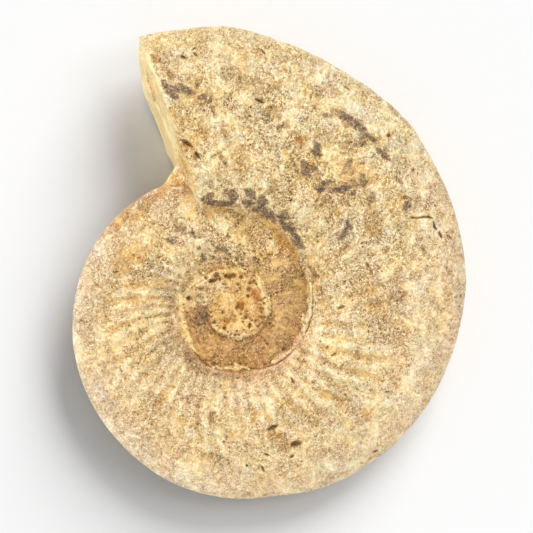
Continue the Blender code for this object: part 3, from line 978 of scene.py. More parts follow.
        (2.4, 0.4, 12.2, -59.5, 16.9, -62.4, 20.7, -66.2), (2.9, 0.4, 39.2, -64.1),
        (1.9, 0.5, 19.8, -53.2, 25.7, -57), (1.5, 0.5, 2.5, -55.7, 6.8, -59.1, 11.4, -62.4),
        (1.9, 0.35, -17.7, -73.4, -13.1, -73.4), (1.9, 0.35, 32.9, -44.3, 35.9, -45.6),
        (2.4, 0.3, 32.9, -60.3), (2.4, 0.35, -2.1, -61.2, 0.4, -66.2), (2.2, 0.4, -0.4, -73, 3.8, -71.3),
        (1.7, 0.55, -29.1, 23.6, -22.8, 23.2, -15.6, 23.2, -8.9, 22.4),
        (1.7, 0.6, -7.2, 21.1, -2.1, 19, 2.5, 15.2, 6.3, 11.8), (2.4, 0.6, 3, 12.7, 7.2, 8.4, 11.4, 6.8),
        (1.5, 0.5, -24.1, 19, -27.4, 21.5), (2.2, 0.85, -11.8, -17.3), (2.2, 0.65, -18.6, -24.1),
        (1.9, 0.35, -6.3, -19.8, -5.1, -22.4), (1.5, 0.5, -29.1, -35, -30.4, -32.9),
        (1.5, 0.4, -12.2, -21.1),
    ],
    "rust": [
        (1.6, 0.55, 11.4, 52.3, 14.8, 50.6), (2.2, 0.9, -6.3, -11.8, -5.5, -15.2),
        (0.7, 0.6, 27, -2.1, 26.2, -3.8), (0.6, 0.5, 26.6, -8.4), (0.7, 0.7, 14.8, -25.3),
        (0.6, 0.5, 75.5, -32.5, 78.5, -32.5), (0.5, 0.7, -33.3, -11.4, -30.8, -8.9, -27.8, -7.2),
        (0.6, 0.75, -27, -5.5, -24.5, -3.4, -21.9, -2.1, -19, -2.1, -16.5, -2.1),
        (0.4, 0.5, -23.2, -15.6, -21.5, -14.3, -19.8, -13.1),
        (0.4, 0.5, -17.7, -10.5, -15.6, -9.7, -13.5, -8.4), (1.7, 0.8, -7.2, -12.2, -5.5, -13.9, -4.6, -16),
        (1.2, 0.6, -6.3, -11.8, -3.8, -11.4), (0.5, 0.6, -51.5, -23.2, -48.1, -22.4, -45.1, -21.5),
        (0.4, 0.7, -23.6, -44.3, -16.5, -45.8, -10.1, -45.6),
        (0.5, 0.6, -17.3, 24.1, -13.9, 23.6, -11.4, 23.6),
        (0.5, 0.6, -2.5, 20.3, 0.4, 18.1, 3.4, 15.6, 5.9, 13.9), (1.8, 0.9, -13.1, -18.6, -11, -17.3),
        (1.1, 0.6, -18.6, -24.5, -16.9, -24.5), (0.8, 0.5, 8.9, 16, 11, 16.5),
        (0.5, 0.5, -33.3, -36.3, -29.1, -39.2),
    ],
    "brown": [
        (4.2, 0.42, -65.4, 14.3, -59.5, 14.8, -53.6, 15.6), (2.8, 0.4, -27.4, 78.9, -26.2, 72.2),
        (3.7, 0.4, -27.8, 56.1, -21.5, 54.4, -15.6, 55.7), (3.2, 0.4, -28.3, 36.7, -24.9, 33.3),
        (3.2, 0.42, 34.2, 36.7, 39.2, 34.6, 45.1, 35), (3.2, 0.4, 13.9, -33.3, 15.2, -37.6),
        (2.8, 0.4, 23.6, -23.2, 24.9, -27.4), (2.8, 0.4, -58.6, -13.1, -56.1, -17.3),
        (2.3, 0.42, 74.3, -2.1, 75.5, -9.7, 75.9, -17.3), (2.8, 0.5, -46.8, 94.1, -46, 85.7, -43.5, 76.4),
        (3.2, 0.5, -27.8, 58.2, -26.6, 51.9), (3.7, 0.5, -57.8, 24.5, -48.1, 27.4),
        (2.8, 0.5, -39.2, 17.3, -35.9, 13.1), (3.2, 0.5, 22.4, -13.5, 24.9, -17.7),
        (3.2, 0.5, 42.6, -12.2, 45.1, -18.1), (3.2, 0.5, 32.9, 27.4, 34.2, 21.5),
        (3.2, 0.5, 32.5, 7.2, 35, 2.1), (3.7, 0.6, 42.6, 17.3, 45.6, 11.4),
        (2.3, 0.5, -12.2, -46.8, -3, -46.8), (2.8, 0.5, 11.4, -45.1, 15.6, -41.8),
        (1.9, 0.6, -19, -26.6, -14.8, -24.9), (2.3, 0.5, -39.2, -34.6, -36.7, -39.2),
        (4.2, 0.5, -72.2, -13.9, -66.2, -16.9), (3.7, 0.45, -77.2, -23.2, -76.4, -36.7),
        (3.7, 0.5, -68.8, -43.5, -66.2, -48.5), (5.1, 0.45, 20.7, 53.6, 32.1, 49.8, 35, 43.5),
        (3.7, 0.55, 41.8, 24.1, 45.1, 14.8), (3.2, 0.5, -37.1, 56.1, -36.3, 41.4, -35.9, 32.9),
        (2.8, 0.45, -4.2, -15.6, -3, -28.3, -7.2, -37.6), (3.7, 0.5, 54, -3, 54.4, -15.6),
        (3.7, 0.6, 1.3, -73.8, 6.8, -77.6), (3.7, 0.5, 62.9, 26.6, 66.2, 23.2),
        (3.2, 0.4, 13.1, 66.2, 23.6, 63.7), (3.2, 0.7, -30, -19, -30.8, -23.2, -29.5, -28.3),
        (3.7, 0.55, -0.4, 63.7, 7.6, 57.8), (4.2, 0.55, 8.9, 43.5, 18.1, 38.4),
        (3.7, 0.55, 29.1, 38.4, 38.4, 32.1), (2.8, 0.5, -36.3, 73, -27.8, 67.1),
        (2.8, 0.55, -13.9, 19.8, -8, 12.2), (2.8, 0.5, 43.5, 52.7, 48.5, 46.8),
        (1.5, 0.9, -16, -23.2, -13.9, -24.1), (0.9, 0.8, -26.2, -6.3, -25.7, -6.8),
        (1, 0.8, -23.6, -5.5, -21.1, -4.6), (1, 0.8, -18.6, -5.5, -14.3, -5.1),
        (0.8, 0.8, -29.5, -10.5, -27.8, -10.5), (0.9, 0.7, -7.6, -8, -5.5, -8.4),
        (1, 0.8, -11.8, -19.8, -8, -23.2), (0.8, 0.8, -4.2, -18.1, -3.4, -22.4),
        (0.7, 0.8, -22.8, -24.9, -21.9, -25.3), (0.7, 0.8, -19, -27.4, -18.1, -27.8),
        (0.7, 0.8, -15.6, -29.5, -13.1, -30), (0.8, 0.7, -19.4, -20.7, -18.1, -21.1),
        (0.8, 0.7, -9.3, -13.9, -8.4, -14.3), (4.2, 0.5, -42.6, 73.8, -24.9, 75.5, -8, 74.7, 3, 73.8),
        (5.6, 0.33, -40.9, 85.7, -37.6, 75.1, -33.3, 60.3), (4.6, 0.4, -31.2, 47.7, -27, 35),
        (9.3, 0.38, 27.8, 41.4, 34.2, 32.9, 36.3, 24.5), (6.5, 0.33, 13.1, 37.1, 21.5, 26.6, 30, 11.8),
        (4.6, 0.33, 6.8, 20.3, 8.9, 11.8), (5.6, 0.3, 40.5, -3, 38.4, -15.6),
        (6, 0.6, -68.8, 20.7, -63.7, 23.6, -56.5, 26.6), (5.6, 0.3, -73.4, -5.1, -69.2, -15.6),
        (6, 0.33, -69.2, -36.7, -65, -47.3, -60.8, -53.6),
        (1.6, 0.7, -43.9, 79.3, -42.6, 78.5, -41.4, 77.6),
        (0.5, 0.85, -43, 32.5, -39.2, 32.5, -35.9, 32.9, -33.3, 31.2, -31.6, 28.3),
        (1.9, 0.5, 42.6, 16.5, 46.4, 16), (1.9, 0.4, 27, 20.7, 31.2, 21.1), (1.4, 0.4, -0.8, -70, 4.2, -73),
        (1.4, 0.45, -69.6, -14.3, -67.5, -16),
        (0.9, 0.5, -43.9, -13.9, -40.5, -15.6, -38.8, -18.6, -39.2, -23.2),
        (3, 0.4, -40.1, -31.2, -37.1, -34.2, -34.6, -36.7), (1.4, 0.5, -35, -38.4, -32.5, -41.4),
        (0.5, 0.6, -66.2, 10.5, -62.9, 11.4, -59.9, 10.5), (1.4, 0.35, -6.3, -11.4, -8, -10.5),
        (0.9, 0.5, 18.6, -49.8), (1.4, 0.35, 7.2, -19, 10.5, -18.6),
        (0.9, 0.5, 2.5, -14.8, 6.8, -13.9, 9.3, -13.5), (0.6, 0.4, 3.4, -17.3, 8, -16.9, 10.5, -15.6),
        (1.6, 0.35, -22.8, -37.6, -21.1, -40.1), (0.7, 0.6, -9.7, -29.1), (0.9, 0.4, 6.3, 9.7, 7.6, 7.2),
        (0.6, 0.5, 6.3, -21.1, 11.4, -23.2),
    ],
    "pale": [
        (2.8, 0.42, -48.9, -33.8, -46, -37.6), (2.8, 0.45, 52.7, 47.7, 55.3, 43.5),
        (0.7, 0.9, -2.1, -13.9, -0.8, -17.3, -0.8, -21.1, -2.1, -24.9),
        (0.8, 0.9, -3, -26.2, -6.3, -29.1, -10.5, -30.8, -14.8, -30.8),
        (0.7, 0.85, -19.8, -28.7, -23.2, -26.6), (0.6, 0.8, -3, -11.4, -5.1, -8),
        (3.7, 0.5, -50.2, -23.2, -44.3, -27.4), (4.2, 0.55, 30.8, 68.8, 37.6, 62.9),
        (3.2, 0.5, -9.7, 37.6, -3.8, 33.3), (2.8, 0.5, 21.5, 7.2, 24.9, 3),
        (4.6, 0.6, 43.5, -77.2, 54.4, -73), (3.7, 0.5, -37.6, -85.7, -27, -94.5, -12.2, -97.5),
        (3.2, 0.5, 0.4, -97, 13.1, -94.5), (3.2, 0.45, 13.1, -86.5, 32.1, -85.7),
        (3.7, 0.5, 52.3, 57, 57, 52.7), (3.7, 0.5, 62.9, 43.5, 66.2, 34.2),
        (3.7, 0.45, -18.6, -64.1, -14.3, -67.9), (4.6, 0.5, 57.4, -47.3, 61.6, -57.8),
        (4.2, 0.5, 42.6, -74.7, 34.2, -84), (3.7, 0.5, 62, 47.7, 67.1, 35),
        (2.8, 0.5, -29.1, -94.9, -24.1, -96.6), (3.7, 0.5, -35.9, 16.5, -28.3, 9.7),
        (2.1, 0.8, -20.3, 19, -19, 12.7), (2.1, 0.7, 0.4, 8.9, 3, 4.6), (3.2, 0.5, -33.3, 7.2, -23.2, 1.3),
        (2.8, 0.8, 17.3, 21.9, 20.3, 15.6, 17.3, 12.7), (1.9, 0.8, 13.1, 21.9, 14.3, 17.3),
        (2.3, 0.7, 20.7, 2.1, 22.8, -2.1), (3.7, 0.6, 29.1, 61.2, 39.2, 54.4),
        (3.7, 0.55, 51.5, 33.8, 59.1, 26.6), (3.2, 0.5, -29.1, 47.7, -23.2, 32.5),
        (2.3, 0.6, -22.8, 78.1, -17.3, 72.2), (2.8, 0.5, -37.6, -18.1, -38.4, -28.3),
        (5.6, 0.36, -8, 85.7, -3, 73), (6.5, 0.42, 32.1, 68.8, 44.7, 58.2, 55.3, 47.7),
        (5.6, 0.5, 48.9, 62.4, 57.4, 51.9, 65.8, 37.1), (5.6, 0.42, 65.8, 20.3, 67.9, 5.5),
        (6.5, 0.45, 63.7, -11.4, 65.8, -28.3, 61.6, -45.1), (6.5, 0.48, 55.3, -55.7, 46.8, -66.2),
        (4.6, 0.4, 13.1, 23.2, 17.3, 17.3), (5.6, 0.38, -31.2, -43, -18.6, -51.5),
        (4.6, 0.4, -37.6, -34.6, -31.2, -44.3), (5.6, 0.35, -22.8, -85.2, -8, -89.5),
        (1.2, 0.9, -37.6, -16.9, -38.4, -21.5, -36.7, -26.2, -34.2, -30.8, -32.5, -35.9),
        (1.6, 0.7, -30, -15.2, -27, -16),
        (0.9, 0.9, 17.3, -8.9, 18.1, -13.9, 17.7, -19, 16, -24.1, 14.3, -28.3),
        (1.4, 0.6, -40.5, 88.6, -39.7, 86.1), (0.9, 0.9, -1.3, 75.9, -0.8, 74.3),
        (0.9, 0.55, -9.3, 47.3, -9.3, 40.1), (1.9, 0.5, -23.2, 59.9, -21.5, 57.4),
        (1.4, 0.5, -19.4, 51.1, -18.1, 48.1), (2.3, 0.6, -27, 35.9, -24.1, 32.1),
        (1.9, 0.55, -30.4, 30, -27.8, 31.6), (1.4, 0.7, 52.3, 46), (0.7, 0.7, 54.4, 35),
        (0.9, 0.7, 54, 32.1, 54.9, 30.4), (1.4, 0.6, 32.9, 63.7, 34.6, 62), (1.2, 0.6, 13.5, 11.8),
        (2.3, 0.5, 16, 17.3, 18.1, 14.8), (1.4, 0.8, -0.4, 21.1),
        (1, 0.85, 17.3, -8.9, 18.1, -11.8, 18.6, -15.6, 17.7, -19.4, 16.9, -23.2),
        (1.6, 0.6, 14.3, -21.9, 15.2, -26.2), (2.1, 0.5, 38.4, -32.1), (0.8, 0.8, 68.8, -31.2),
        (1.9, 0.5, 29.1, -4.6, 30.8, -5.9), (1.6, 0.5, 37.6, -10.5), (1.2, 0.5, 57.8, -6.8, 57.8, -8.4),
        (1.4, 0.5, 60.3, -17.7, 61.2, -19.8), (2.8, 0.35, 58.6, -48.5, 62.4, -50.6),
        (2.3, 0.5, 48.1, -47.3, 50.2, -49.8, 48.1, -52.3), (0.7, 0.6, 26.2, -22.4),
        (0.6, 1, -1.3, -87.3, 2.1, -86.1, 5.9, -84.4), (0.7, 0.6, 5.9, -91.6), (2.3, 0.35, -18.1, -91.6),
        (1.4, 0.4, -31.2, -86.1), (2.1, 0.35, 17.3, -81), (1.9, 0.4, -51.9, -67.9),
        (1.4, 0.65, -27.8, -48.5), (1.2, 0.5, -24.1, -48.5), (1.9, 0.4, -15.2, -55.3, -14.8, -60.3),
        (0.6, 0.8, -53.6, 26.6, -55.3, 24.5), (0.6, 0.85, -58.2, 19.8, -59.9, 16.5, -60.3, 13.1),
        (1.2, 0.6, -49.4, 19.8), (1.9, 0.6, -21.5, 18.1, -19.4, 13.9),
        (1.2, 0.6, -52.3, -21.1, -48.1, -20.3, -43.9, -19.4),
        (1.9, 0.85, -37.6, -13.9, -38, -18.1, -37.6, -23.2, -36.3, -28.3, -34.2, -33.3, -31.6, -37.1),
        (2.8, 0.35, -50.2, -26.6, -43.9, -26.6), (2.3, 0.3, -50.2, -32.9, -45.1, -30.4),
        (0.9, 0.7, -67.1, -34.6), (1.9, 0.5, -62, -43), (0.9, 0.5, -49.4, -51.1),
        (1.9, 0.5, -41.8, 13.1, -35.9, 9.7, -33.3, 7.2), (1.4, 0.4, -50.2, -11.4, -53.2, -12.7),
        (2.3, 0.4, -69.2, 5.5, -66.2, 8.4),
        (0.7, 0.75, -21.9, -43.5, -19.8, -44.7, -16.9, -43.9, -13.9, -45.1, -11, -43.5, -8, -45.1),
        (1.2, 0.9, -13.9, -43.5), (0.9, 0.5, 1.3, -41.8, 3.8, -39.7, 6.8, -38, 8.9, -37.6),
        (1.1, 0.55, -5.5, -4.6, -3, -8.9, -1.7, -13.5, 0, -17.3, -0.4, -20.7, -2.1, -24.1),
        (1.2, 0.6, -24.1, -26.2, -20.7, -28.7, -16.5, -30.8, -12.2, -31.2, -8, -29.5, -4.6, -26.6),
        (1.2, 0.6, -35.9, -12.7, -32.5, -10.1, -27.4, -7.2, -22.4, -4.2, -16.5, -3.4, -11, -3),
        (1.4, 0.5, -27.8, -16.9, -26.2, -15.6), (2.8, 0.35, -0.4, 8.4, 3, 4.6),
        (1.2, 0.4, -36.3, -17.7, -34.2, -16.9), (2.8, 0.35, -20.7, -11.4, -15.6, -15.2),
        (1.9, 0.35, -8.9, -36.7, -3, -34.6), (1.4, 0.4, 26.6, -47.3, 30, -49.4),
        (1.6, 0.4, 15.6, -15.6, 16.5, -18.1), (1.9, 0.35, 32.1, 19, 35, 20.7),
    ],
}
print({kind: len(strokes) for kind, strokes in MARKS.items()})


# %% [markdown]
# A stroke covers a point fully near its line and fades out past its half width. It is thinner towards
# its two ends, like a stroke of a brush. A painted texture would do the same job, but it would have to be
# laid round the stone without a seam. Strokes need no laying out, and stay sharp at any size.

# %% From strokes to a number at each point
INK_FULL, INK_END = 0.3, 1.9  # in half widths from the line


def covered(points, strokes, facing_up):
    """How strongly the strokes cover each point."""
    cover = np.zeros(len(points))
    for half_width, strength, *line in strokes:
        line = np.array(line).reshape(-1, 2)
        reach = INK_END * half_width
        past_start = (points[:, :2] > line.min(0) - reach).all(1)
        before_end = (points[:, :2] < line.max(0) + reach).all(1)
        near = np.flatnonzero(past_start & before_end)
        distance = np.full(len(near), np.inf)
        passed, width = 0.0, np.ones(len(near))
        long = max(np.hypot(*np.diff(line, axis=0).T).sum(), 1e-6)
        for start, end in zip(line, line[1:] if len(line) > 1 else line):
            step = end - start
            offset = points[near, :2] - start
            share = np.clip(offset @ step / max(step @ step, 1e-9), 0, 1)
            here = np.hypot(*(offset - share[:, None] * step).T)
            gone = np.pi * (passed + share * np.hypot(*step)) / long
            nib = 1 if len(line) == 1 else 0.5 + 0.5 * np.sin(gone)
            width = np.where(here < distance, half_width * nib, width)
            distance = np.minimum(distance, here)
            passed += np.hypot(*step)
        inked = strength * (1 - smooth_step(INK_FULL, INK_END, distance / width))
        cover[near] = np.maximum(cover[near], inked)
    return cover * facing_up


print("a stroke ends", INK_END, "half widths from its line")


# %% [markdown]
# Every kind of mark changes the surface: pits go deep, films and patches lie a touch lower where the crust
# has gone, and pale crust stands proud. What is below the floor's level is worn flat in the same step.

# %% Carve the marks
CARVED = {"stain": -0.15, "pit": -0.75, "ochre": -0.3, "rust": -0.2, "brown": -0.2, "pale": 0.3}  # mm
for kind, height in CARVED.items():
    points += normals * (height * covered(points, MARKS[kind], upper))[:, None]
print("points worn flat:", int((points[:, 2] < 0).sum()))
points[:, 2] = np.maximum(points[:, 2], 0)
write_points(fossil, points)


# %% [markdown]
# ## Fewer faces
# The upper side needs small faces for the carving; the lower side, which nobody sees, doesn't. A Decimate
# that works on a vertex group thins the lower side, and a second one thins the flattest places all over.

# %% Thin the mesh
UPPER_HEIGHT = 12.0
LOWER_FACES_LEFT = 50_000
MOST_TRIANGLES = 197_000


def thin(thing, triangles, group=""):
    """Collapses edges until about so many triangles are left."""
    thing.data.calc_loop_triangles()
    thinning = thing.modifiers.new("thinning", "DECIMATE")
    thinning.ratio = min(1.0, triangles / len(thing.data.loop_triangles))
    thinning.vertex_group = group
    thinning.use_collapse_triangulate = True
    bake(thing)


lower = fossil.vertex_groups.new(name="lower")
lower.add(np.flatnonzero(points[:, 2] < UPPER_HEIGHT).tolist(), 1.0, "REPLACE")
fossil.data.calc_loop_triangles()
upper_share = float((points[:, 2] >= UPPER_HEIGHT).mean())
upper_triangles = upper_share * len(fossil.data.loop_triangles)
thin(fossil, upper_triangles + LOWER_FACES_LEFT, "lower")
fossil.vertex_groups.clear()
thin(fossil, MOST_TRIANGLES)


# %% [markdown]
# ## What the colour needs to know
# The skin of the stone isn't one colour. Each point now gets a few numbers that the material turns into
# colour: how light and how yellow this part of the stone is, how mottled it is, how far along and how far
# out on the coil it lies, whether it stands proud or lies in a hollow, and how strongly each kind of mark
# covers it. The broad part of that is a table with a row at some angles along the coil.

# %% Tone, warmth and mottling along the coil
LAST_WHORL = (  # angle, lightness 0 to 255, yellowness, pinkness, mottling
    (109, 194, -0.2, 0.2, 1.15),
    (150, 194, -0.7, 0.0, 1.1),
    (200, 198, -0.5, 0.0, 0.9),
    (270, 200, -0.6, 0.1, 0.95),
    (310, 205, -0.6, 0.0, 0.9),
    (355, 201, -0.6, 0.1, 1.1),
    (400, 204, -0.5, -0.2, 1.45),
    (440, 204, -0.6, -0.3, 1.45),
    (469, 203, -0.6, -0.4, 1.15),
)
INNER_WHORL = (
    (-251, 187, -0.3, 0.6, 1.1),
    (-185, 189, 0.0, 0.6, 0.9),
    (-170, 158, 0.5, 1.0, 0.75),
    (-150, 150, 0.8, 1.4, 0.75),
    (-40, 149, 0.7, 1.2, 0.8),
    (-10, 150, 0.5, 0.9, 0.85),
    (30, 153, 0.4, 0.4, 1.0),
    (60, 175, 0.2, 0.2, 1.2),
    (90, 183, -0.4, 0.0, 1.4),
    (109, 185, -0.4, 0.0, 1.4),
)
PLUG = (188, 1.4, 1.0, 0.75)  # the same without an angle
FRESH = (236, 1.0, 0.1, 0.35)
print("rows in the tables:", len(LAST_WHORL), "and", len(INNER_WHORL))


# %% [markdown]
# Thinning has made new points, so they are asked for their place on the coil again. Between two rows of a
# table the values run on evenly. The plug and the break are the same all over and have one row each.

# %% The tables, read at each point
points = read(fossil.data.vertices, "co", 3)
points[:, 2] = np.maximum(points[:, 2], 0.0)
normals = read(fossil.data.vertices, "normal", 3)
radius, turned, way_out = coil_place(points)
upper = smooth_step(*FACING_UP, normals[:, 2])
fresh = on_break(points, normals)
last = turned > LAST_WHORL_START
plug = way_out < 0


def along_coil(column):
    """Reads one column of the tables at each point."""
    tables = [np.array(table, float) for table in (LAST_WHORL, INNER_WHORL)]
    outer_value, inner_value = (np.interp(turned, table[:, 0], table[:, column]) for table in tables)
    value = np.where(last, outer_value, np.where(plug, PLUG[column - 1], inner_value))
    return value + fresh * (FRESH[column - 1] - value)


print("points on the plug:", int(plug.sum()))


# %% [markdown]
# Across the whorl two more things change. The rim is a little lighter and less yellow, and at the lower left
# most of all.
# The yellow goes because the rim is rubbed. The lightness is partly rubbed stone and partly painted light,
# where the lamps fall off towards the edge, and the extra lightness of the right rim is painted light alone.
# Along the foot of the last whorl by the seam the stone is darker and pinker.

# %% Rim and seam
RIM = (0.6, 0.95)  # on the way out
BY_SEAM = (0.03, 0.14)

rim = smooth_step(*RIM, way_out) * last
lower_left = smooth_step(140, 170, turned) * (1 - smooth_step(250, 275, turned))
right = smooth_step(320, 350, turned) * (1 - smooth_step(385, 410, turned))
# painted light: the rim is painted lighter, partly as rubbed stone and partly as light; on the right rim
# only as light
tone = along_coil(1) + rim * (1 - fresh) * (2 + 8 * lower_left + 4 * right)
by_seam = last * (1 - smooth_step(*BY_SEAM, way_out))
tone -= 16 * by_seam * smooth_step(180, 215, turned) * (1 - smooth_step(330, 350, turned))
warm = along_coil(2) + 1.1 - rim * (0.2 + 0.5 * lower_left)
pink = along_coil(3) + rim * (1 - fresh) * (1 - smooth_step(385, 425, turned))
pink += 1.8 * by_seam * smooth_step(150, 190, turned) * (1 - smooth_step(330, 360, turned))
mottle = along_coil(4) * (1 - 0.3 * rim)
print("lightness from", round(float(tone.min())), "to", round(float(tone.max())))


# %% [markdown]
# The relief of the carved skin colours it too: hollows and grooves are painted darker as painted shade, and
# what stands proud is painted paler as a painted highlight.
# A material sees one point at a time, so the relief is measured here, where the neighbours are known.

# %% Relief
FINE_ROUNDS, WIDE_ROUNDS = 5, 70
HIGHEST_CREST = 1.2  # mm, more than that changes nothing

fine_skin = smoothed(fossil, points, FINE_ROUNDS)
wide_skin = smoothed(fossil, fine_skin, WIDE_ROUNDS)
crest = np.clip(height_above(wide_skin, fine_skin, normals), -HIGHEST_CREST, HIGHEST_CREST)
relief = {"grain": height_above(fine_skin, points, normals), "crest": crest * (1 - fresh)}
print("relief in mm:", {name: round(float(value.std()), 3) for name, value in relief.items()})


# %% [markdown]
# The streaks of the stone follow the ribs, so the material also gets the place along and out on the coil
# with the lean of the ribs taken out. One step along is one rib. All the numbers go onto the mesh as
# attributes, which travel with it, and then the stone is scaled from millimetres to metres.

# %% Hand the numbers to the material
leaned = SHELL_INPUTS["Rib lean"] * np.clip(way_out, 0, 1) ** LEAN_POWER
wound = turned - leaned * smooth_step(*LEAN_RISE, turned) * (1 - smooth_step(*LEAN_FADE, turned))
numbers = {
    "tone": tone,
    "warm": warm,
    "pink": pink,
    "mottle": mottle,
    "along": wound / (360 / SHELL_INPUTS["Ribs per turn"]),
    "out": way_out,
    **relief,
    **{kind: covered(points, strokes, upper) for kind, strokes in MARKS.items()},
}
for name, values in numbers.items():
    layer = fossil.data.attributes.new(name, "FLOAT", "POINT")
    layer.data.foreach_set("value", values.astype(np.float32))
used_up = fossil.data.attributes.get("weather")
if used_up:
    fossil.data.attributes.remove(used_up)
write_points(fossil, points * MM)
print("numbers for the material:", list(numbers))


# %% [markdown]
# ## The limestone
# The material works in two steps. It first adds up a lightness from 0 to 255: the tone of this part of
# the stone, mottling at several sizes, the crests painted lighter and the grooves painted darker as painted
# highlight and shade, and the marks. A colour ramp then turns lightness into colour, because in this stone
# they go together: its shadows and dirt are brown, its middle tones ochre, its grains cream. That is closer
# to rock than mixing colours by hand.

# %% Reading the numbers, and noise of any size
NOISE_GAIN = 7  # brings the spread of the noise to about 1
NOISE_ROUGHNESS = 0.65

stone = limestone.node_tree
place_mm = add_node(stone, "ShaderNodeTexCoord", None, "Object")
place_mm = add_node(stone, "ShaderNodeVectorMath", {"operation": "SCALE"}, Vector=place_mm, Scale=1 / MM)


def painted(name):
    return add_node(stone, "ShaderNodeAttribute", {"attribute_name": name}, "Fac")


def mottling(size, detail, seed, where=place_mm, swirl=0.0):
    """Noise with a mean of 0 and a spread of about 1; the size is in mm."""
    value = add_node(
        stone,
        "ShaderNodeTexNoise",
        {"noise_dimensions": "4D"},
        Vector=where,
        W=seed,
        Scale=1 / size,
        Detail=detail,
        Roughness=NOISE_ROUGHNESS,
        Distortion=swirl,
    )
    return (value - 0.5) * NOISE_GAIN


def held(value, low, high):
    return least(most(value, low), high)


print("the material reads", len(numbers), "numbers")


# %% [markdown]
# The mottling has broad clouds, patches, grains and dust. Streaks run out along the ribs, so their noise is
# read at the place on the coil and not at the place in the room.

# %% Clouds, patches, grains, dust and streaks
clouds = mottling(11.0, 1.0, 1.0)
patches = mottling(3.6, 3.0, 2.0, swirl=1.2)
grains = mottling(1.4, 2.0, 3.0, swirl=1.6)
dust = mottling(0.8, 2.0, 4.0, swirl=1.5)
coil_spot = vector(stone, painted("along") * 9, painted("out") * 7, 0.0)
ribbed = fade(0.02, 0.10, painted("out")) * (1 - fade(0.5, 0.85, painted("out")))
streaks = mottling(1.0, 3.0, 5.0, coil_spot, swirl=0.6) * (3 + 6 * ribbed)
print("noise so far takes", len(stone.nodes), "nodes")


# %% [markdown]
# Each grain of the stone is a cell with a lightness of its own, and a few larger cells are dark or pale
# specks. The cells are read at a place that the noise has bent, or their straight sides would show.

# %% Grains and specks as cells
GRAIN_SIZE, SPECK_SIZE = 0.9, 2.3  # mm
DARK_FROM, PALE_FROM = 0.86, 0.84  # of 1, so about one cell in seven is dark and one in six is pale

bent = add_node(stone, "ShaderNodeVectorMath", {"operation": "ADD"}, Vector=place_mm)
stone.links.new(vector(stone, grains * 0.25, patches * 0.3, dust * 0.2).socket, bent.socket.node.inputs[1])


def cells(size, output):
    settings = {"voronoi_dimensions": "3D", "feature": "F1"}
    return add_node(stone, "ShaderNodeTexVoronoi", settings, output, Vector=bent, Scale=1 / size)


grain_shade, _, _ = parts_of(cells(GRAIN_SIZE, "Color"))
dark_chance, pale_chance, _ = parts_of(cells(SPECK_SIZE, "Color"))
speck_reach = cells(SPECK_SIZE, "Distance")
dark_specks = is_above(dark_chance, DARK_FROM) * (1 - fade(0.12, 0.26, speck_reach))
pale_specks = is_above(pale_chance, PALE_FROM) * (1 - fade(0.16, 0.38, speck_reach))
print("a grain is", GRAIN_SIZE, "mm wide, a speck's cell", SPECK_SIZE, "mm")


# %% [markdown]
# A smooth pale crust still covers part of the stone. Where it has gone, the rock is crumbly, with flakes of
# two sizes and fine creases. Each of them is a noise cut off at one or two levels, which gives islands with
# a clear edge, the way a crust breaks off.

# %% Crust, crumbs and creases
crust_noise = mottling(8.5, 5.0, 14.0, swirl=0.8)
crust = fade(-0.06, 0.06, crust_noise) * 0.6 + fade(0.45, 0.6, crust_noise) * 0.4
crumb_noise = mottling(2.6, 4.0, 15.0, swirl=1.2)
crumbs = fade(-0.06, 0.08, crumb_noise) * 0.6 + fade(0.5, 0.7, crumb_noise) * 0.4
bits = fade(0.0, 0.15, mottling(1.4, 2.0, 16.0, swirl=2.5))
crease_line = mottling(3.4, 4.0, 17.0, swirl=1.0)
creases = 1 - fade(0.0, 0.10, crease_line.math("ABSOLUTE", crease_line))
creases = creases * fade(0.0, 0.7, mottling(8.0, 2.0, 18.0))
crumbly = 1.15 - 0.85 * crust
print("with the crust,", len(stone.nodes), "nodes")


# %% [markdown]
# All of that is added up. The numbers say by how many of 255 each thing makes the stone lighter or darker.

# %% Lightness of the stone, with painted shade and highlight from its relief
fine = grains * 5 + dust * 58 + (grain_shade - 0.5) * 20 + (bits - 0.45) * 26
fine = fine - creases * 28 - dark_specks * 40
mottled = clouds * 5 + patches * 2 + (crust - 0.4) * 15 + (crumbs - 0.4) * 12
mottled = mottled + streaks + pale_specks * 20 + fine * crumbly
# painted shade and highlight: hollows and grooves darker, crests and proud grains lighter
relief_shade_and_highlight = held(painted("crest") * 7, -7.0, 7.0) + held(painted("grain") * 90, -18.0, 10.0)
lightness = painted("tone") + painted("mottle") * mottled + relief_shade_and_highlight
print("the lightness takes", len(stone.nodes), "nodes")


# %% [markdown]
# A mark's edge is never clean in rock, so noise eats into each stroke before it is used. A mark then brings
# the lightness to a level of its own, and lets some of the mottling through.

# %% Marks in the lightness
def eaten(name, seed, hunger=0.8, start=0.4, end=0.6):
    """A stroke with a ragged edge, and with holes where the hunger is great."""
    eating = 0.55 * mottling(2.4, 4.0, seed, swirl=1.2) + 0.65 * mottling(0.8, 2.0, seed + 20, swirl=2.0)
    return fade(start, end, painted(name) + hunger * eating * fade(0.0, 0.35, painted(name)))


def towards(value, amount, level):
    """Brings a lightness to a level where a mark is, and keeps some of the mottling."""
    return value + amount * (level + 0.5 * mottled - value)


stain, pit, ochre = eaten("stain", 6.0, 0.7), eaten("pit", 7.0, 0.25, 0.3, 0.75), eaten("ochre", 8.0)
rust, brown, pale = eaten("rust", 9.0, hunger=0.4), eaten("brown", 10.0), eaten("pale", 11.0, 0.55)
round_stain = fade(0.08, 0.55, painted("stain") * (1.1 + 0.6 * crumbs))
mark_levels = (  # how much of each mark, and its lightness
    (pale * 0.85, 234.0),
    (ochre * 0.85, 168.0),
    (brown * 0.8, 146.0),
    (round_stain * 0.5, 150.0),
    # pits: their dark level is partly their own brown and partly painted shade inside them
    (pit * 0.8, 104.0),
)
for amount, level in mark_levels:
    lightness = towards(lightness, amount, level)
print("marks that change the lightness:", len(mark_levels))


# %% [markdown]
# The ramp goes from dark brown through ochre to cream. Colours are given as a screen shows them, and are
# divided by the light that falls on the stone.

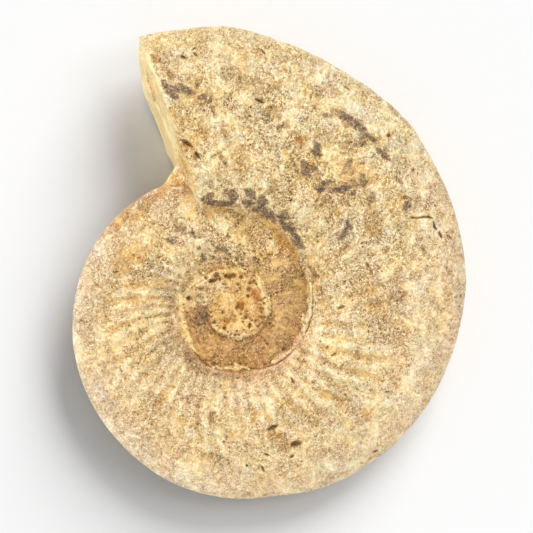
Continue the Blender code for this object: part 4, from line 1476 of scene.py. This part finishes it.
# %% From lightness to colour
LIGHT_GAIN = 1.02  # how much light falls on the stone, with 1 for white paper just reaching white
STONE_COLOURS = {
    40: (58, 38, 22),
    70: (88, 64, 38),
    115: (132, 101, 64),
    142: (174, 137, 89),
    177: (208, 173, 121),
    205: (231, 201, 152),
    223: (243, 220, 175),
    246: (253, 242, 207),
}


def linear(*screen):
    """A colour as light, from its screen values."""
    return [((value / 255 + 0.055) / 1.055) ** 2.4 / LIGHT_GAIN for value in screen]


low, high = min(STONE_COLOURS), max(STONE_COLOURS)
share = (lightness - low) / (high - low)
colouring = add_node(stone, "ShaderNodeValToRGB", None, "Color", Fac=share)
ramp = colouring.socket.node.color_ramp
while len(ramp.elements) < len(STONE_COLOURS):
    ramp.elements.new(0.5)
for element, at in zip(ramp.elements, STONE_COLOURS):
    element.position = (at - low) / (high - low)
for element, colour in zip(ramp.elements, STONE_COLOURS.values()):
    element.color = (*linear(*colour), 1.0)
print("colours on the ramp:", len(ramp.elements))


# %% [markdown]
# At one lightness the stone still turns from yellow to a pinkish grey, in patches of a few mm. The tint says
# how yellow and the blush how pink, and each channel of the colour answers to both.

# %% Tint and blush
CHANNELS = (  # of red, green and blue: the plain share, and what tint and blush add to it
    (1.0, 0.037, 0.022),
    (1.0, -0.006, -0.018),
    (0.97, -0.112, 0.034),
)

patchy = held(painted("mottle"), 0.0, 1.0)
tint = mottling(14.0, 1.0, 12.0) * 0.5 + mottling(6.0, 2.0, 13.0, swirl=1.0) * 0.8
tint = painted("warm") + tint * patchy + ochre * 2.2 + pit * 0.5 - painted("crest") * 0.4
tint = tint + 0.5 * (0.4 - crust)
blush = mottling(12.0, 1.0, 41.0) * 0.5 + mottling(3.5, 3.0, 42.0, swirl=1.0) * 0.8
blush = painted("pink") + blush * patchy + 0.9 * (0.4 - crust) - 0.8 * pale
blush = most(blush, tint * -0.3 - 0.2)  # the stone never turns green
tinted = [
    channel * (plain + by_tint * tint + by_blush * blush)
    for channel, (plain, by_tint, by_blush) in zip(parts_of(colouring), CHANNELS)
]
tinted = vector(stone, *tinted)
print("the colour takes", len(stone.nodes), "nodes")


# %% [markdown]
# Mineral film and rust aren't limestone, so they get colours of their own and are laid over it last. The
# film is thin in places, and the stone shows through.

# %% Film and rust
FILM_COLOUR, RUST_COLOUR = (100, 84, 78), (188, 122, 58)
RUST_COVER = 0.85


def mixed(amount, under, over):
    """Lays one colour over another."""
    made = stone.nodes.new("ShaderNodeMix")
    made.data_type = "RGBA"
    feed(stone, amount, made.inputs["Factor"])
    feed(stone, under, made.inputs[6])
    feed(stone, over, made.inputs[7])
    return Number(stone, made.outputs[2])


film_shade = held(0.95 + 0.45 * grains + 0.35 * dust + 0.25 * patches, 0.35, 2.4)
film = vector(stone, *[value * film_shade for value in linear(*FILM_COLOUR)])
rusty = vector(stone, *[value * film_shade for value in linear(*RUST_COLOUR)])
film_cover = stain * held(0.78 + 0.22 * mottling(1.3, 3.0, 20.0), 0.35, 0.95)
colour = mixed(film_cover, mixed(rust * RUST_COVER, tinted, rusty), film)
print("film and rust bring it to", len(stone.nodes), "nodes")


# %% [markdown]
# Limestone is dull, a little less so on its pale crystals. Bump adds the finest grains, which are smaller
# than the faces of the mesh, and gives the crust its edge.

# %% Finish
SHINE = 0.3
BUMP_STRENGTH, BUMP_HEIGHT = 0.9, 0.8 * MM

surface = stone.nodes["Principled BSDF"]
stone.links.new(colour.socket, surface.inputs["Base Color"])
stone.links.new((0.86 - 0.05 * pale_specks).socket, surface.inputs["Roughness"])
surface.inputs["Specular IOR Level"].default_value = SHINE
bump = stone.nodes.new("ShaderNodeBump")
bump.inputs["Strength"].default_value = BUMP_STRENGTH
bump.inputs["Distance"].default_value = BUMP_HEIGHT
loose = (bits * 0.4 + grains * 0.2 + dust * 0.12 - creases * 0.6) * crumbly
feed(stone, crust * 0.5 + crumbs * 0.6 + loose - pit, bump.inputs["Height"])
stone.links.new(bump.outputs["Normal"], surface.inputs["Normal"])
print("the limestone has", len(stone.nodes), "nodes")


# %% [markdown]
# ## Hand over
# The stone rides on the part's only body and stands for its node. The soft lamps are turned on it alone.

# %% Hand over
shine_only_on(soft_lamps, fossil)
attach(fossil, "root")
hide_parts("ammonite")
